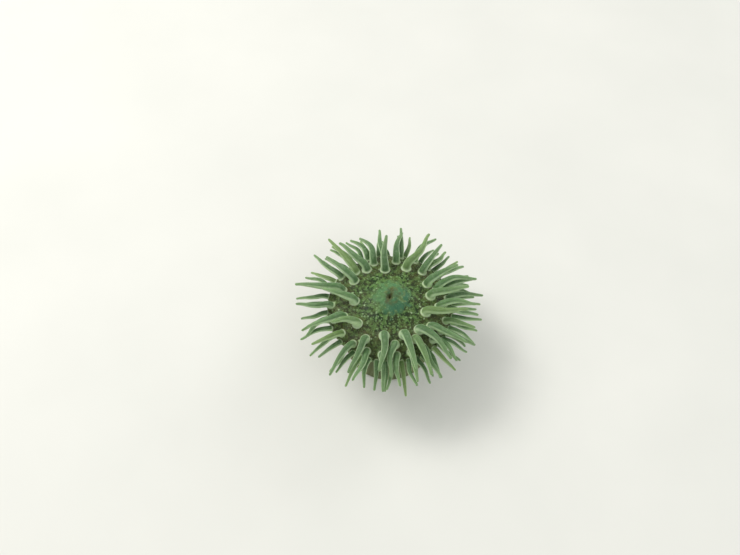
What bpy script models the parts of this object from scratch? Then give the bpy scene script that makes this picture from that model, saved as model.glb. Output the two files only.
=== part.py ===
"""A sea anemone with its crown spread, life size, standing on its pedal disc.

The body is one turned outline, cut across into the pedal disc, three lengths of
column, the margin, the oral disc, the cone round the mouth and the lips. Four
rings of tentacles grow from the oral disc. The two inner rings are nodes of
their own, and each sector of the margin carries one tentacle of the third ring
and two of the marginal ring. The centre lines of the tentacles are bent by
rule, and then settled until none touches another.
"""
import math
from dataclasses import dataclass

import bmesh
import bpy
import numpy as np
from mathutils import Vector

# Sizes are in millimetres and angles in degrees. MM turns a size into metres.
MM = 0.001
GAP = 0.3

# Radius and height of the turns of the body's outline, from the mouth over the
# oral disc to the rim, and down the column to the edge of the pedal disc.
OUTLINE = (
    (0.0, 29.3), (1.0, 29.7), (2.1, 30.4), (3.4, 30.1), (5.2, 29.5), (6.7, 28.8), (8.4, 28.0),
    (12.2, 27.3), (15.8, 26.3), (18.1, 25.1), (19.3, 23.9), (19.7, 22.7), (19.2, 21.3),
    (17.2, 19.0), (14.4, 16.1), (12.5, 12.8), (11.5, 9.4), (11.4, 6.2), (12.3, 3.3),
    (13.8, 1.3), (14.4, 0.5), (14.2, 0.0),
)
OUTLINE_STEPS = 24

# Heights of the cuts between the turned pieces, and the seats they stand in.
FOOT_CUT = 2.7
LOWER_CUT = 7.4
MIDDLE_CUT = 14.0
MARGIN_CUT = 21.2
DISC_RADIUS = 16.5
CONE_RADIUS = 7.2
CONE_SEAT = 25.2
LIPS_RADIUS = 2.8
LIPS_SEAT = 28.7
LIPS_HEIGHT = 1.4
BODY_SIDES = 32
CONE_SIDES = 24
LIPS_SIDES = 16
RING_SPACING = 3.0

# Turns of the lips over into the mouth: share of their radius, and drop from the crest.
LIPS_TURNS = ((1.0, 0.45), (0.8, 0.0), (0.55, 0.1), (0.3, 1.1))

# The crown. Its roots are turned from +X by FIRST_AZIMUTH, and most of all on the
# side at TURNED_SIDE, so that they stand unevenly round the disc.
FIRST_AZIMUTH = 6.8
TURNED_SIDE = 236.0
TURNED_BY = 9.6

# How a tentacle bends: the stretch over which it turns from the disc's normal, the
# share of its lean that it has at the root and gains towards the tip, how far it
# waves aside, and how far the outer ones differ from each other.
PATH_POINTS = 14
KNEE_LENGTH = 3.4
LEAN_AT_ROOT = 0.7
LEAN_GAINED = 0.6
WAVE = 0.38
LEAN_VARIATION = 13.0
LIFT_VARIATION = 12.0
LENGTH_VARIATION = 0.15
TAPER_POWER = 0.85
TIP_ROUNDING = 0.75
ROOT_DEPTH = 0.8

# How the tentacles settle: room kept between two of them and over the disc, the
# rounds, the rounds between two looks for neighbours, how far off a neighbour may
# be, and the shares of push, stiffness and pull back to the pose in each round.
CLEARANCE = 0.5
DISC_CLEARANCE = 0.25
SETTLE_ROUNDS = 220
LOOK_EVERY = 20
NEIGHBOUR_REACH = 5.0
PUSH_SHARE = 0.35
DISC_PUSH_SHARE = 0.4
STIFFNESS = 0.22
POSE_PULL = 0.01

# Margin sectors: their number, the flats across each, and the places of the
# section's turns on the way from the inner wall to the rim.
MARGIN_COUNT = 24
MARGIN_STEPS = 2
MARGIN_TURNS = (0.0, 0.45, 0.8, 1.0)


@dataclass(frozen=True)
class Row:
    """One ring of tentacles: how many, where they root, their size, bend and facets."""
    name: str
    count: int
    offset: float
    root_turn: tuple
    root_radius: float
    tip_radius: float
    length: float
    rise: float
    droop: float
    stations: tuple
    section_steps: int


INNER_STATIONS = (0.0, 0.1, 0.22, 0.5, 0.93, 1.0)
OUTER_STATIONS = (0.0, 0.16, 0.5, 0.93, 1.0)
EDGE_STATIONS = (0.0, 0.22, 0.93, 1.0)
INNER = Row("tentacle_inner", 12, 0.0, (12.4, 27.2), 1.45, 0.56, 15.6, 14.0, -20.0, INNER_STATIONS, 2)
SECOND = Row("tentacle_second", 12, 15.0, (15.5, 26.4), 1.28, 0.53, 14.6, 8.0, -22.0, INNER_STATIONS, 2)
THIRD = Row("third", 24, 7.5, (18.3, 24.9), 1.14, 0.5, 12.6, 1.0, -22.0, OUTER_STATIONS, 2)
MARGINAL = Row("marginal", 48, 3.75, (19.6, 23.2), 0.9, 0.45, 10.2, -6.0, -26.0, EDGE_STATIONS, 1)
ROWS = (INNER, SECOND, THIRD, MARGINAL)

# Pose of the inner ring, counter-clockwise from +X: how far each root is moved
# round the disc, and outward, how far the tentacle leans aside, how far it is
# lifted, and its length as a share of the row's.
INNER_POSE = (
    (8.0, 0.6, 6.0, 0.0, 0.94), (1.0, 1.2, 4.0, 8.0, 0.86), (11.0, 1.2, -9.0, 2.0, 1.12),
    (10.0, -0.6, -9.0, 26.0, 0.8), (1.0, 1.6, 14.0, 6.0, 0.95), (-9.0, 1.2, -4.0, 14.0, 0.86),
    (-8.0, -1.2, -18.0, 12.0, 0.8), (-4.0, 0.8, -30.0, 24.0, 0.66), (7.0, 0.5, 2.0, 2.0, 0.96),
    (6.0, 0.6, -3.0, 0.0, 0.95), (1.0, 1.4, 2.0, 0.0, 1.04), (4.0, -0.4, 22.0, 4.0, 0.98),
)
# Clumps that the outer tentacles lean together into: azimuth, spread, pull, and
# how much longer the tentacles there are.
CLUMPS = (
    (138.0, 24.0, 0.9, 0.18), (172.0, 10.0, 0.8, 0.04), (206.0, 12.0, 0.9, 0.02), (240.0, 10.0, 0.8, -0.04),
    (268.0, 15.0, 1.2, 0.0), (298.0, 11.0, 0.7, -0.08), (325.0, 10.0, 0.6, -0.1), (4.0, 17.0, 1.1, -0.1),
    (62.0, 14.0, 0.8, 0.06), (98.0, 12.0, 0.7, 0.0),
)

# Colours of the flesh.
FOOT_COLOUR = (0.42, 0.36, 0.24, 1.0)
COLUMN_COLOUR = (0.30, 0.29, 0.17, 1.0)
DISC_COLOUR = (0.12, 0.13, 0.05, 1.0)
CONE_COLOUR = (0.10, 0.25, 0.15, 1.0)
LIPS_COLOUR = (0.16, 0.09, 0.05, 1.0)
TENTACLE_COLOUR = (0.20, 0.32, 0.13, 1.0)
FLESH_ROUGHNESS = 0.35


def flesh(name, colour):
    """Return a wet, matte flesh material of one colour."""
    material = bpy.data.materials.new(name)
    material.use_nodes = True
    shader = material.node_tree.nodes["Principled BSDF"]
    shader.inputs["Base Color"].default_value = colour
    shader.inputs["Roughness"].default_value = FLESH_ROUGHNESS
    shader.inputs["Metallic"].default_value = 0.0
    return material


# ---------------------------------------------------------------- the outline

def smooth_line(turns, steps):
    """Return points on a smooth curve through the turns, with steps to each span."""
    turns = np.array(turns, dtype=float)
    span = np.linalg.norm(np.diff(turns, axis=0), axis=1)
    slope = np.diff(turns, axis=0) / span[:, None]
    tangent = np.empty_like(turns)
    tangent[0] = slope[0]
    tangent[-1] = slope[-1]
    before = span[:-1, None]
    after = span[1:, None]
    tangent[1:-1] = (slope[:-1] * after + slope[1:] * before) / (before + after)
    share = np.linspace(0.0, 1.0, steps, endpoint=False)[:, None]
    points = []
    for i, width in enumerate(span):
        points.append((2 * share**3 - 3 * share**2 + 1) * turns[i]
                      + (share**3 - 2 * share**2 + share) * tangent[i] * width
                      + (3 * share**2 - 2 * share**3) * turns[i + 1]
                      + (share**3 - share**2) * tangent[i + 1] * width)
    points.append(turns[-1:])
    return np.vstack(points)


OUTLINE_LINE = smooth_line(OUTLINE, OUTLINE_STEPS)
RIM_INDEX = int(np.argmax(OUTLINE_LINE[:, 0]))
TOP_LINE = OUTLINE_LINE[:RIM_INDEX + 1]
SIDE_LINE = OUTLINE_LINE[RIM_INDEX:]


def top_height(radius):
    """Return the height of the oral disc's surface at a radius."""
    return np.interp(radius, TOP_LINE[:, 0], TOP_LINE[:, 1])


def side_radius(height):
    """Return the radius of the column's surface at a height."""
    return np.interp(height, SIDE_LINE[::-1, 1], SIDE_LINE[::-1, 0])


def outward_normal(turn):
    """Return the outline's outward normal, as radius and height, at its point nearest a turn."""
    index = int(np.argmin(np.linalg.norm(OUTLINE_LINE - np.array(turn), axis=1)))
    along = OUTLINE_LINE[index + 1] - OUTLINE_LINE[index - 1]
    along = along / np.linalg.norm(along)
    return np.array((-along[1], along[0]))


def outline_stretch(line, low, high, axis):
    """Return evenly spaced points of a line whose coordinate on an axis runs from low to high."""
    order = line if line[0, axis] < line[-1, axis] else line[::-1]
    inside = order[(order[:, axis] > low) & (order[:, axis] < high)]
    other = 1 - axis
    ends = []
    for value in (low, high):
        point = np.empty(2)
        point[axis] = value
        point[other] = np.interp(value, order[:, axis], order[:, other])
        ends.append(point)
    stretch = np.vstack((ends[0], inside, ends[1]))
    travelled = np.concatenate(((0.0,), np.cumsum(np.linalg.norm(np.diff(stretch, axis=0), axis=1))))
    count = max(2, int(round(travelled[-1] / RING_SPACING)) + 1)
    even = np.linspace(0.0, travelled[-1], count)
    return np.column_stack([np.interp(even, travelled, stretch[:, i]) for i in (0, 1)])


# ------------------------------------------------------------ solids of loops

def loft(name, rings, material):
    """Return an object that joins closed rings of points in order and caps both ends."""
    mesh = bpy.data.meshes.new(name)
    work = bmesh.new()
    loops = [[work.verts.new(Vector(point) * MM) for point in ring] for ring in rings]
    for lower, upper in zip(loops, loops[1:]):
        edges = []
        for loop in (lower, upper):
            for i, vertex in enumerate(loop):
                following = loop[(i + 1) % len(loop)]
                edges.append(work.edges.get((vertex, following)) or work.edges.new((vertex, following)))
        bmesh.ops.bridge_loops(work, edges=edges)
    work.faces.new(loops[0])
    work.faces.new(loops[-1])
    bmesh.ops.recalc_face_normals(work, faces=work.faces[:])
    work.to_mesh(mesh)
    work.free()
    mesh.shade_smooth()
    mesh.set_sharp_from_angle(angle=math.radians(40.0))
    mesh.materials.append(material)
    piece = bpy.data.objects.new(name, mesh)
    bpy.context.collection.objects.link(piece)
    return piece


def turned(name, section, sides, material):
    """Return a solid turned from a section of radius and height pairs."""
    rings = []
    for radius, height in section:
        angles = [2.0 * math.pi * i / sides for i in range(sides)]
        rings.append([(radius * math.cos(angle), radius * math.sin(angle), height) for angle in angles])
    return loft(name, rings, material)


# ------------------------------------------------------------------- the body

def build_column(material, foot_material):
    """Build the pedal disc and the three lengths of the column."""
    lengths = (
        ("pedal_disc", 0.0, FOOT_CUT, foot_material),
        ("column_lower", FOOT_CUT + GAP, LOWER_CUT, material),
        ("column_middle", LOWER_CUT + GAP, MIDDLE_CUT, material),
        ("column_upper", MIDDLE_CUT + GAP, MARGIN_CUT, material),
    )
    for name, low, high, finish in lengths:
        section = outline_stretch(SIDE_LINE, low, high, axis=1)
        turned(name, section, BODY_SIDES, finish)


def build_oral_disc(material):
    """Build the oral disc, with a round seat for the cone in its middle."""
    floor = MARGIN_CUT + GAP
    seat = CONE_RADIUS + GAP
    section = [(DISC_RADIUS, floor)]
    section += list(outline_stretch(TOP_LINE, seat, DISC_RADIUS, axis=0)[::-1])
    section += [(seat, CONE_SEAT)]
    turned("oral_disc", section, BODY_SIDES, material)


def build_cone(material):
    """Build the raised cone round the mouth, with a seat for the lips in its top."""
    seat = LIPS_RADIUS + GAP
    section = [(CONE_RADIUS, CONE_SEAT + GAP)]
    section += list(outline_stretch(TOP_LINE, seat, CONE_RADIUS, axis=0)[::-1])
    section += [(seat, LIPS_SEAT)]
    turned("oral_cone", section, CONE_SIDES, material)


def build_lips(material):
    """Build the lips: a round cushion with the mouth sunk in it."""
    crest = LIPS_SEAT + GAP + LIPS_HEIGHT
    section = [(LIPS_RADIUS, LIPS_SEAT + GAP)]
    section += [(LIPS_RADIUS * out, crest - down) for out, down in LIPS_TURNS]
    turned("lips", section, LIPS_SIDES, material)


# -------------------------------------------------------------- the tentacles

def crowded(azimuth):
    """Return an even azimuth turned to its uneven place round the disc."""
    return azimuth + FIRST_AZIMUTH + TURNED_BY * math.cos(math.radians(azimuth - TURNED_SIDE))


def inner_azimuth(index):
    """Return the azimuth of an inner tentacle's root, also for indices past the last."""
    return crowded(index * 360.0 / INNER.count) + INNER_POSE[index % INNER.count][0]


def clumped(azimuth):
    """Return how far a tentacle leans towards the clumps near its root, and its share of length."""
    lean = 0.0
    share = 1.0
    for centre, spread, pull, longer in CLUMPS:
        away = (azimuth - centre + 180.0) % 360.0 - 180.0
        nearness = math.exp(-(away / spread) ** 2)
        lean -= pull * away * nearness
        share += longer * nearness
    return lean, share


def variation(index, phase):
    """Return a fixed irregular number between -1 and 1 for one tentacle and phase."""
    return math.sin(index * 2.399 + phase * 1.7) * math.cos(index * 1.171 + phase)


class Tentacle:
    """One tentacle: its row, root, girth and the points of its centre line."""

    def __init__(self, row, index):
        """Place and bend one tentacle of a row, in its unsettled form."""
        self.row = row
        self.index = index
        self.azimuth = crowded(index * 360.0 / row.count + row.offset)
        self.root_turn = row.root_turn
        if row is SECOND:
            self.azimuth = 0.5 * (inner_azimuth(index) + inner_azimuth(index + 1))
        if row is INNER:
            self.azimuth = inner_azimuth(index)
            _, out, lean, lift, share = INNER_POSE[index]
            radius = row.root_turn[0] + out
            self.root_turn = (radius, top_height(radius))
        else:
            lean, share = clumped(self.azimuth)
            lean += LEAN_VARIATION * variation(index, 1.0)
            lift = LIFT_VARIATION * variation(index, 2.0)
            share += LENGTH_VARIATION * variation(index, 3.0)
        self.length = row.length * share
        self.path = self.bent(lean, lift)

    def bent(self, lean, lift):
        """Return the centre line that leaves along the disc's normal and bends outward."""
        normal = outward_normal(self.root_turn)
        start_rise = math.degrees(math.atan2(normal[1], normal[0]))
        azimuth = math.radians(self.azimuth)
        radius, height = self.root_turn
        point = np.array((radius * math.cos(azimuth), radius * math.sin(azimuth), height))
        step = self.length / (PATH_POINTS - 1)
        points = [point]
        for i in range(PATH_POINTS - 1):
            travelled = (i + 0.5) * step
            share = travelled / self.length
            knee = min(1.0, max(0.0, (travelled - 0.5 * step) / KNEE_LENGTH))
            knee = knee * knee * (3.0 - 2.0 * knee)
            rise = (self.row.rise + lift) * (1.0 - share) + (self.row.droop + lift) * share
            rise = math.radians(start_rise * (1.0 - knee) + rise * knee)
            heading = azimuth + math.radians(lean * knee * (LEAN_AT_ROOT + LEAN_GAINED * share))
            heading += WAVE * math.sin(math.pi * 2.0 * share) * variation(self.index, self.row.offset + 4.0)
            point = point + step * np.array((
                math.cos(rise) * math.cos(heading), math.cos(rise) * math.sin(heading), math.sin(rise)))
            points.append(point)
        return np.array(points)

    def girth(self, share):
        """Return the radius at a share of the length: a stout root, a slim end, a round tip."""
        row = self.row
        body = row.tip_radius + (row.root_radius - row.tip_radius) * (1.0 - share) ** TAPER_POWER
        tip_start = 1.0 - row.tip_radius / self.length
        into_tip = np.clip((share - tip_start) / (1.0 - tip_start), 0.0, 1.0)
        return body * np.sqrt(1.0 - TIP_ROUNDING * into_tip ** 2)

    def at(self, share):
        """Return the point of the smooth centre line at a share of its length."""
        line = smooth_line(self.path, 6)
        travelled = np.concatenate(((0.0,), np.cumsum(np.linalg.norm(np.diff(line, axis=0), axis=1))))
        return np.array([np.interp(share * travelled[-1], travelled, line[:, i]) for i in range(3)])


def settle(tentacles):
    """Move the centre lines apart until they clear each other and the disc."""
    rest = np.array([tentacle.path for tentacle in tentacles])
    count = len(tentacles)
    shares = np.linspace(0.0, 1.0, PATH_POINTS)
    girth = np.array([tentacle.girth(shares) for tentacle in tentacles])
    step = np.array([tentacle.length / (PATH_POINTS - 1) for tentacle in tentacles])
    owner = np.repeat(np.arange(count), PATH_POINTS)
    order = np.tile(np.arange(PATH_POINTS), count)
    thick = girth.reshape(-1)
    place = rest.copy()
    for turn in range(SETTLE_ROUNDS):
        flat = place.reshape(-1, 3)
        if turn % LOOK_EVERY == 0:
            gap = np.linalg.norm(flat[:, None] - flat[None], axis=2)
            first, second = np.nonzero(gap < NEIGHBOUR_REACH)
            apart = (first < second) & (owner[first] != owner[second])
            first, second = first[apart], second[apart]
        between = flat[first] - flat[second]
        distance = np.linalg.norm(between, axis=1)
        short = thick[first] + thick[second] + CLEARANCE - distance
        near = short > 0.0
        push = between[near] / distance[near, None] * (PUSH_SHARE * short[near, None])
        move = np.zeros_like(flat)
        np.add.at(move, first[near], push)
        np.add.at(move, second[near], -push)
        move[order < 2] = 0.0
        flat = flat + move
        radius = np.linalg.norm(flat[:, :2], axis=1)
        floor = top_height(np.minimum(radius, TOP_LINE[-1, 0])) + thick + DISC_CLEARANCE
        low = (order > 2) & (radius < TOP_LINE[-1, 0]) & (flat[:, 2] < floor)
        flat[low, 2] += DISC_PUSH_SHARE * (floor[low] - flat[low, 2])
        place = flat.reshape(count, PATH_POINTS, 3)
        strain = place - rest
        place[:, 2:-1] += STIFFNESS * (0.5 * (strain[:, 1:-2] + strain[:, 3:]) - strain[:, 2:-1])
        place[:, 2:] -= POSE_PULL * strain[:, 2:]
        for i in range(2, PATH_POINTS):
            along = place[:, i] - place[:, i - 1]
            along = along / np.linalg.norm(along, axis=1)[:, None]
            place[:, i] = place[:, i - 1] + along * step[:, None]
    for tentacle, path in zip(tentacles, place):
        tentacle.path = path


def tentacle_tube(tentacle, name, material, root_lift):
    """Return a tapered tube along a tentacle, from a distance above its root to its tip."""
    curve = bpy.data.curves.new(name, "CURVE")
    curve.dimensions = "3D"
    curve.bevel_depth = MM
    curve.bevel_resolution = tentacle.row.section_steps
    curve.use_fill_caps = True
    curve.twist_mode = "MINIMUM"
    spline = curve.splines.new("POLY")
    shares = tentacle.row.stations
    spline.points.add(len(shares) - 1)
    normal = tentacle.path[1] - tentacle.path[0]
    normal = normal / np.linalg.norm(normal)
    for point, share in zip(spline.points, shares):
        place = tentacle.at(share)
        if share == 0.0:
            place = place + normal * root_lift
        point.co = (*(place * MM), 1.0)
        point.radius = float(tentacle.girth(share))
    spline.use_smooth = True
    curve.materials.append(material)
    tube = bpy.data.objects.new(name, curve)
    bpy.context.collection.objects.link(tube)
    return tube


# ----------------------------------------------------------------- the margin

def margin_section():
    """Return the turns of the margin's section, from its inner floor over the rim to its outer floor."""
    inner_wall = DISC_RADIUS + GAP
    floor = MARGIN_CUT + GAP
    width = TOP_LINE[-1, 0] - inner_wall
    turns = [(inner_wall, floor)]
    for share in MARGIN_TURNS:
        radius = inner_wall + share * width
        turns.append((radius, top_height(radius)))
    turns.append((side_radius(floor), floor))
    return turns


def margin_sector(index, material):
    """Return one sector of the margin, whose side faces pass between the roots."""
    pitch = 360.0 / MARGIN_COUNT
    rings = []
    for step in range(MARGIN_STEPS + 1):
        share = step / MARGIN_STEPS
        ring = []
        for radius, height in margin_section():
            azimuth = crowded(pitch * (index + share))
            inset = math.degrees(0.5 * GAP / radius)
            azimuth = math.radians(azimuth + inset * (1.0 - 2.0 * share))
            ring.append((radius * math.cos(azimuth), radius * math.sin(azimuth), height))
        rings.append(ring)
    return loft(f"margin_{index + 1:02d}", rings, material)


def join_tubes(sector, tubes):
    """Unite a margin sector with the tubes of the tentacles rooted in it."""
    bpy.context.view_layer.update()
    for tube in tubes:
        depsgraph = bpy.context.evaluated_depsgraph_get()
        mesh = bpy.data.meshes.new_from_object(tube.evaluated_get(depsgraph))
        solid = bpy.data.objects.new(f"{tube.name}_solid", mesh)
        bpy.context.collection.objects.link(solid)
        union = sector.modifiers.new("union", "BOOLEAN")
        union.operation = "UNION"
        union.solver = "EXACT"
        union.object = solid
        depsgraph = bpy.context.evaluated_depsgraph_get()
        united = bpy.data.meshes.new_from_object(sector.evaluated_get(depsgraph))
        sector.modifiers.remove(union)
        sector.data = united
        bpy.data.objects.remove(solid)
        bpy.data.objects.remove(tube)


def build_crown(margin_material, tentacle_material):
    """Build the inner tentacles as nodes, and the outer ones on the margin's sectors."""
    tentacles = [Tentacle(row, index) for row in ROWS for index in range(row.count)]
    settle(tentacles)
    by_row = {row.name: [t for t in tentacles if t.row is row] for row in ROWS}
    for row in (INNER, SECOND):
        for tentacle in by_row[row.name]:
            name = f"{row.name}_{tentacle.index + 1:02d}"
            tentacle_tube(tentacle, name, tentacle_material, GAP)
    for index in range(MARGIN_COUNT):
        sector = margin_sector(index, margin_material)
        rooted = (by_row["third"][index], by_row["marginal"][2 * index], by_row["marginal"][2 * index + 1])
        tubes = [tentacle_tube(tentacle, f"{tentacle.row.name}_{tentacle.index:02d}", tentacle_material,
                               -ROOT_DEPTH) for tentacle in rooted]
        join_tubes(sector, tubes)


def main():
    """Clear the scene and build the anemone."""
    for item in list(bpy.data.objects):
        bpy.data.objects.remove(item)
    column_material = flesh("column", COLUMN_COLOUR)
    build_column(column_material, flesh("pedal_disc", FOOT_COLOUR))
    build_oral_disc(flesh("oral_disc", DISC_COLOUR))
    build_cone(flesh("oral_cone", CONE_COLOUR))
    build_lips(flesh("lips", LIPS_COLOUR))
    build_crown(flesh("margin", TENTACLE_COLOUR), flesh("tentacle", TENTACLE_COLOUR))


main()
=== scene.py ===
"""Looks of a sea anemone: one skin of flesh over its solids, a floor, lights and a camera."""
import logging
import math
from dataclasses import dataclass, field
from enum import Enum

import bpy
import numpy as np
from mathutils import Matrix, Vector
from mathutils.geometry import delaunay_2d_cdt


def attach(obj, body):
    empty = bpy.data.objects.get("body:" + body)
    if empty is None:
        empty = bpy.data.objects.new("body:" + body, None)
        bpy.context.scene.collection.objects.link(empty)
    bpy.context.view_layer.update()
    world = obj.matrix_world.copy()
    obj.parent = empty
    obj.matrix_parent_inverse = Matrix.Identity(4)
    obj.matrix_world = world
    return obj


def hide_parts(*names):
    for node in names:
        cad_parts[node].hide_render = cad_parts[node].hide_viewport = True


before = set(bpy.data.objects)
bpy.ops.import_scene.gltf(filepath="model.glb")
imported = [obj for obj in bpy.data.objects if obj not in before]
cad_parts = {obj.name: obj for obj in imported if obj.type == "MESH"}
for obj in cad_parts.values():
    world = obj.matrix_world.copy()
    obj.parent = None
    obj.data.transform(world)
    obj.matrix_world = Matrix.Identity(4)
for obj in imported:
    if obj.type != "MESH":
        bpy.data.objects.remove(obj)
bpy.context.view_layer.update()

MM = 0.001
MM_PER_METRE = 1000.0
FULL_TURN = 2.0 * math.pi
FULL_CIRCLE = 360.0
log = logging.getLogger("anemone")

Array = np.ndarray
Colour = tuple[float, float, float, float]
Material = bpy.types.Material
Node = bpy.types.Node
Socket = bpy.types.NodeSocket
Tree = bpy.types.NodeTree


# ---------- the plan

# Radius and height, in millimetres, of the turns of the body's outline, from the
# mouth over the oral disc to the rim, and down the column to the edge of the foot.
OUTLINE_TURNS = (
    (0.0, 29.3), (1.0, 29.7), (2.1, 30.4), (3.4, 30.1), (5.2, 29.5), (6.7, 28.8), (8.4, 28.0),
    (12.2, 27.3), (15.8, 26.3), (18.1, 25.1), (19.3, 23.9), (19.7, 22.7), (19.2, 21.3),
    (17.2, 19.0), (14.4, 16.1), (12.5, 12.8), (11.5, 9.4), (11.4, 6.2), (12.3, 3.3),
    (13.8, 1.3), (14.4, 0.5), (14.2, 0.0),
)


class Ring(Enum):
    """The four rings that the tentacles stand in, from the mouth outwards."""
    INNER = "inner"
    SECOND = "second"
    THIRD = "third"
    MARGINAL = "marginal"


class Trait(Enum):
    """What varies from one tentacle to the next, with the phase that sets it apart."""
    TONE = 0.3
    LEAN = 1.0
    LIFT = 2.0
    LENGTH = 3.0
    WAVE = 4.0


@dataclass(frozen=True)
class RingPlan:
    """Number, place, girth, length and bend of one ring's tentacles, in millimetres and degrees."""
    ring: Ring
    count: int
    offset: float
    root: tuple[float, float]
    root_radius: float
    tip_radius: float
    length: float
    rise: float
    droop: float


RING_PLANS = (
    RingPlan(Ring.INNER, 12, 0.0, (12.4, 27.2), 1.45, 0.56, 15.6, 14.0, -20.0),
    RingPlan(Ring.SECOND, 12, 15.0, (15.5, 26.4), 1.28, 0.53, 14.6, 8.0, -22.0),
    RingPlan(Ring.THIRD, 24, 7.5, (18.3, 24.9), 1.14, 0.5, 12.6, 1.0, -22.0),
    RingPlan(Ring.MARGINAL, 48, 3.75, (19.6, 23.2), 0.9, 0.45, 10.2, -6.0, -26.0),
)


@dataclass(frozen=True)
class InnerPose:
    """How one inner tentacle departs from its ring's plan, in degrees, millimetres and shares."""
    turned: float
    outward: float
    lean: float
    lift: float
    length_share: float


# Counter-clockwise from +X.
INNER_POSES = (
    InnerPose(8.0, 0.6, 6.0, 0.0, 0.94), InnerPose(1.0, 1.2, 4.0, 8.0, 0.86),
    InnerPose(11.0, 1.2, -9.0, 2.0, 1.12), InnerPose(10.0, -0.6, -9.0, 26.0, 0.8),
    InnerPose(1.0, 1.6, 14.0, 6.0, 0.95), InnerPose(-9.0, 1.2, -4.0, 14.0, 0.86),
    InnerPose(-8.0, -1.2, -18.0, 12.0, 0.8), InnerPose(-4.0, 0.8, -30.0, 24.0, 0.66),
    InnerPose(7.0, 0.5, 2.0, 2.0, 0.96), InnerPose(6.0, 0.6, -3.0, 0.0, 0.95),
    InnerPose(1.0, 1.4, 2.0, 0.0, 1.04), InnerPose(4.0, -0.4, 22.0, 4.0, 0.98),
)


@dataclass(frozen=True)
class Clump:
    """A direction that outer tentacles lean together into, and how much longer they are there."""
    azimuth: float
    spread: float
    pull: float
    longer: float


CLUMPS = (
    Clump(138.0, 24.0, 0.9, 0.18), Clump(172.0, 10.0, 0.8, 0.04), Clump(206.0, 12.0, 0.9, 0.02),
    Clump(240.0, 10.0, 0.8, -0.04), Clump(268.0, 15.0, 1.2, 0.0), Clump(298.0, 11.0, 0.7, -0.08),
    Clump(325.0, 10.0, 0.6, -0.1), Clump(4.0, 17.0, 1.1, -0.1), Clump(62.0, 14.0, 0.8, 0.06),
    Clump(98.0, 12.0, 0.7, 0.0),
)


# ---------- lines and waves

def smooth_line(turns: Array, steps: int) -> Array:
    """Draw a smooth curve through some turns.

    Args:
        turns: the points that the curve passes through.
        steps: how many points each span between two turns gets.

    Returns:
        The points of the curve, its last turn included.
    """
    turns = np.array(turns, dtype=float)
    span = np.linalg.norm(np.diff(turns, axis=0), axis=1)
    slope = np.diff(turns, axis=0) / span[:, None]
    before, after = span[:-1, None], span[1:, None]
    tangent = np.empty_like(turns)
    tangent[0], tangent[-1] = slope[0], slope[-1]
    tangent[1:-1] = (slope[:-1] * after + slope[1:] * before) / (before + after)
    share = np.linspace(0.0, 1.0, steps, endpoint=False)[:, None]
    points = []
    for i, width in enumerate(span):
        points.append((2 * share**3 - 3 * share**2 + 1) * turns[i]
                      + (share**3 - 2 * share**2 + share) * tangent[i] * width
                      + (3 * share**2 - 2 * share**3) * turns[i + 1]
                      + (share**3 - share**2) * tangent[i + 1] * width)
    points.append(turns[-1:])
    return np.vstack(points)


def distances_along(line: Array) -> Array:
    """Return the distance travelled along a line at each of its points."""
    return np.concatenate(((0.0,), np.cumsum(np.linalg.norm(np.diff(line, axis=0), axis=1))))


def smooth_step(low: float, high: float, value: Array) -> Array:
    """Return a value's smooth rise from 0 at low to 1 at high."""
    share = np.clip((np.asarray(value, dtype=float) - low) / (high - low), 0.0, 1.0)
    return share * share * (3.0 - 2.0 * share)


def even_azimuths(count: int) -> Array:
    """Return the azimuths of evenly spaced points round the axis, the first on +X."""
    return np.linspace(0.0, FULL_TURN, count, endpoint=False)


def shifted_azimuths(count: int, shift: float) -> Array:
    """Return the azimuths of evenly spaced points, turned by a share of one step."""
    return FULL_TURN * (np.arange(count) + shift) / count


# Steps that never fall into a rhythm, for numbers that look drawn by chance and stay the same.
SINE_STEP, COSINE_STEP, PHASE_STEP = 2.399, 1.171, 1.7
COLUMN_STEP, ROW_STEP, CHANCE_SPREAD = 12.9898, 78.233, 43758.5453


def variation(index: int, phase: float) -> float:
    """Return a fixed irregular number between -1 and 1 for one tentacle and phase."""
    return math.sin(index * SINE_STEP + phase * PHASE_STEP) * math.cos(index * COSINE_STEP + phase)


def chance_at(column: int, row: int) -> float:
    """Return a fixed irregular number between 0 and 1 for one place in a grid."""
    number = math.sin(column * COLUMN_STEP + row * ROW_STEP) * CHANCE_SPREAD
    return number - math.floor(number)


@dataclass(frozen=True)
class Wave:
    """A sine wave: its waves round the body, radians for each millimetre along it, size and phase."""
    around: float
    along: float = 0.0
    size: float = 1.0
    phase: float = 0.0

    def at(self, azimuth: Array, level: Array) -> Array:
        """Return the wave's value at some azimuths and levels."""
        return self.size * np.sin(self.around * azimuth + self.along * level + self.phase)


def total(waves: tuple[Wave, ...], azimuth: Array, level: Array) -> Array:
    """Return the sum of some waves at some azimuths and levels."""
    return sum(wave.at(azimuth, level) for wave in waves)


@dataclass(frozen=True)
class Swayed:
    """Waves round and along the body, their crests swayed by other waves."""
    around: float
    along: float
    sways: tuple[Wave, ...]

    def angle(self, azimuth: Array, level: Array) -> Array:
        """Return the waves' angle, in radians, at some azimuths and levels."""
        return self.around * azimuth + self.along * level + total(self.sways, azimuth, level)


@dataclass(frozen=True)
class Zone:
    """A stretch that something fades in over, from start to full, and out of, from waning to end."""
    start: float
    full: float
    waning: float
    end: float

    def strength(self, value: Array) -> Array:
        """Return how strong it is at some places, from 0 outside to 1 well inside."""
        return smooth_step(self.start, self.full, value) * (1.0 - smooth_step(self.waning, self.end, value))


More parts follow.
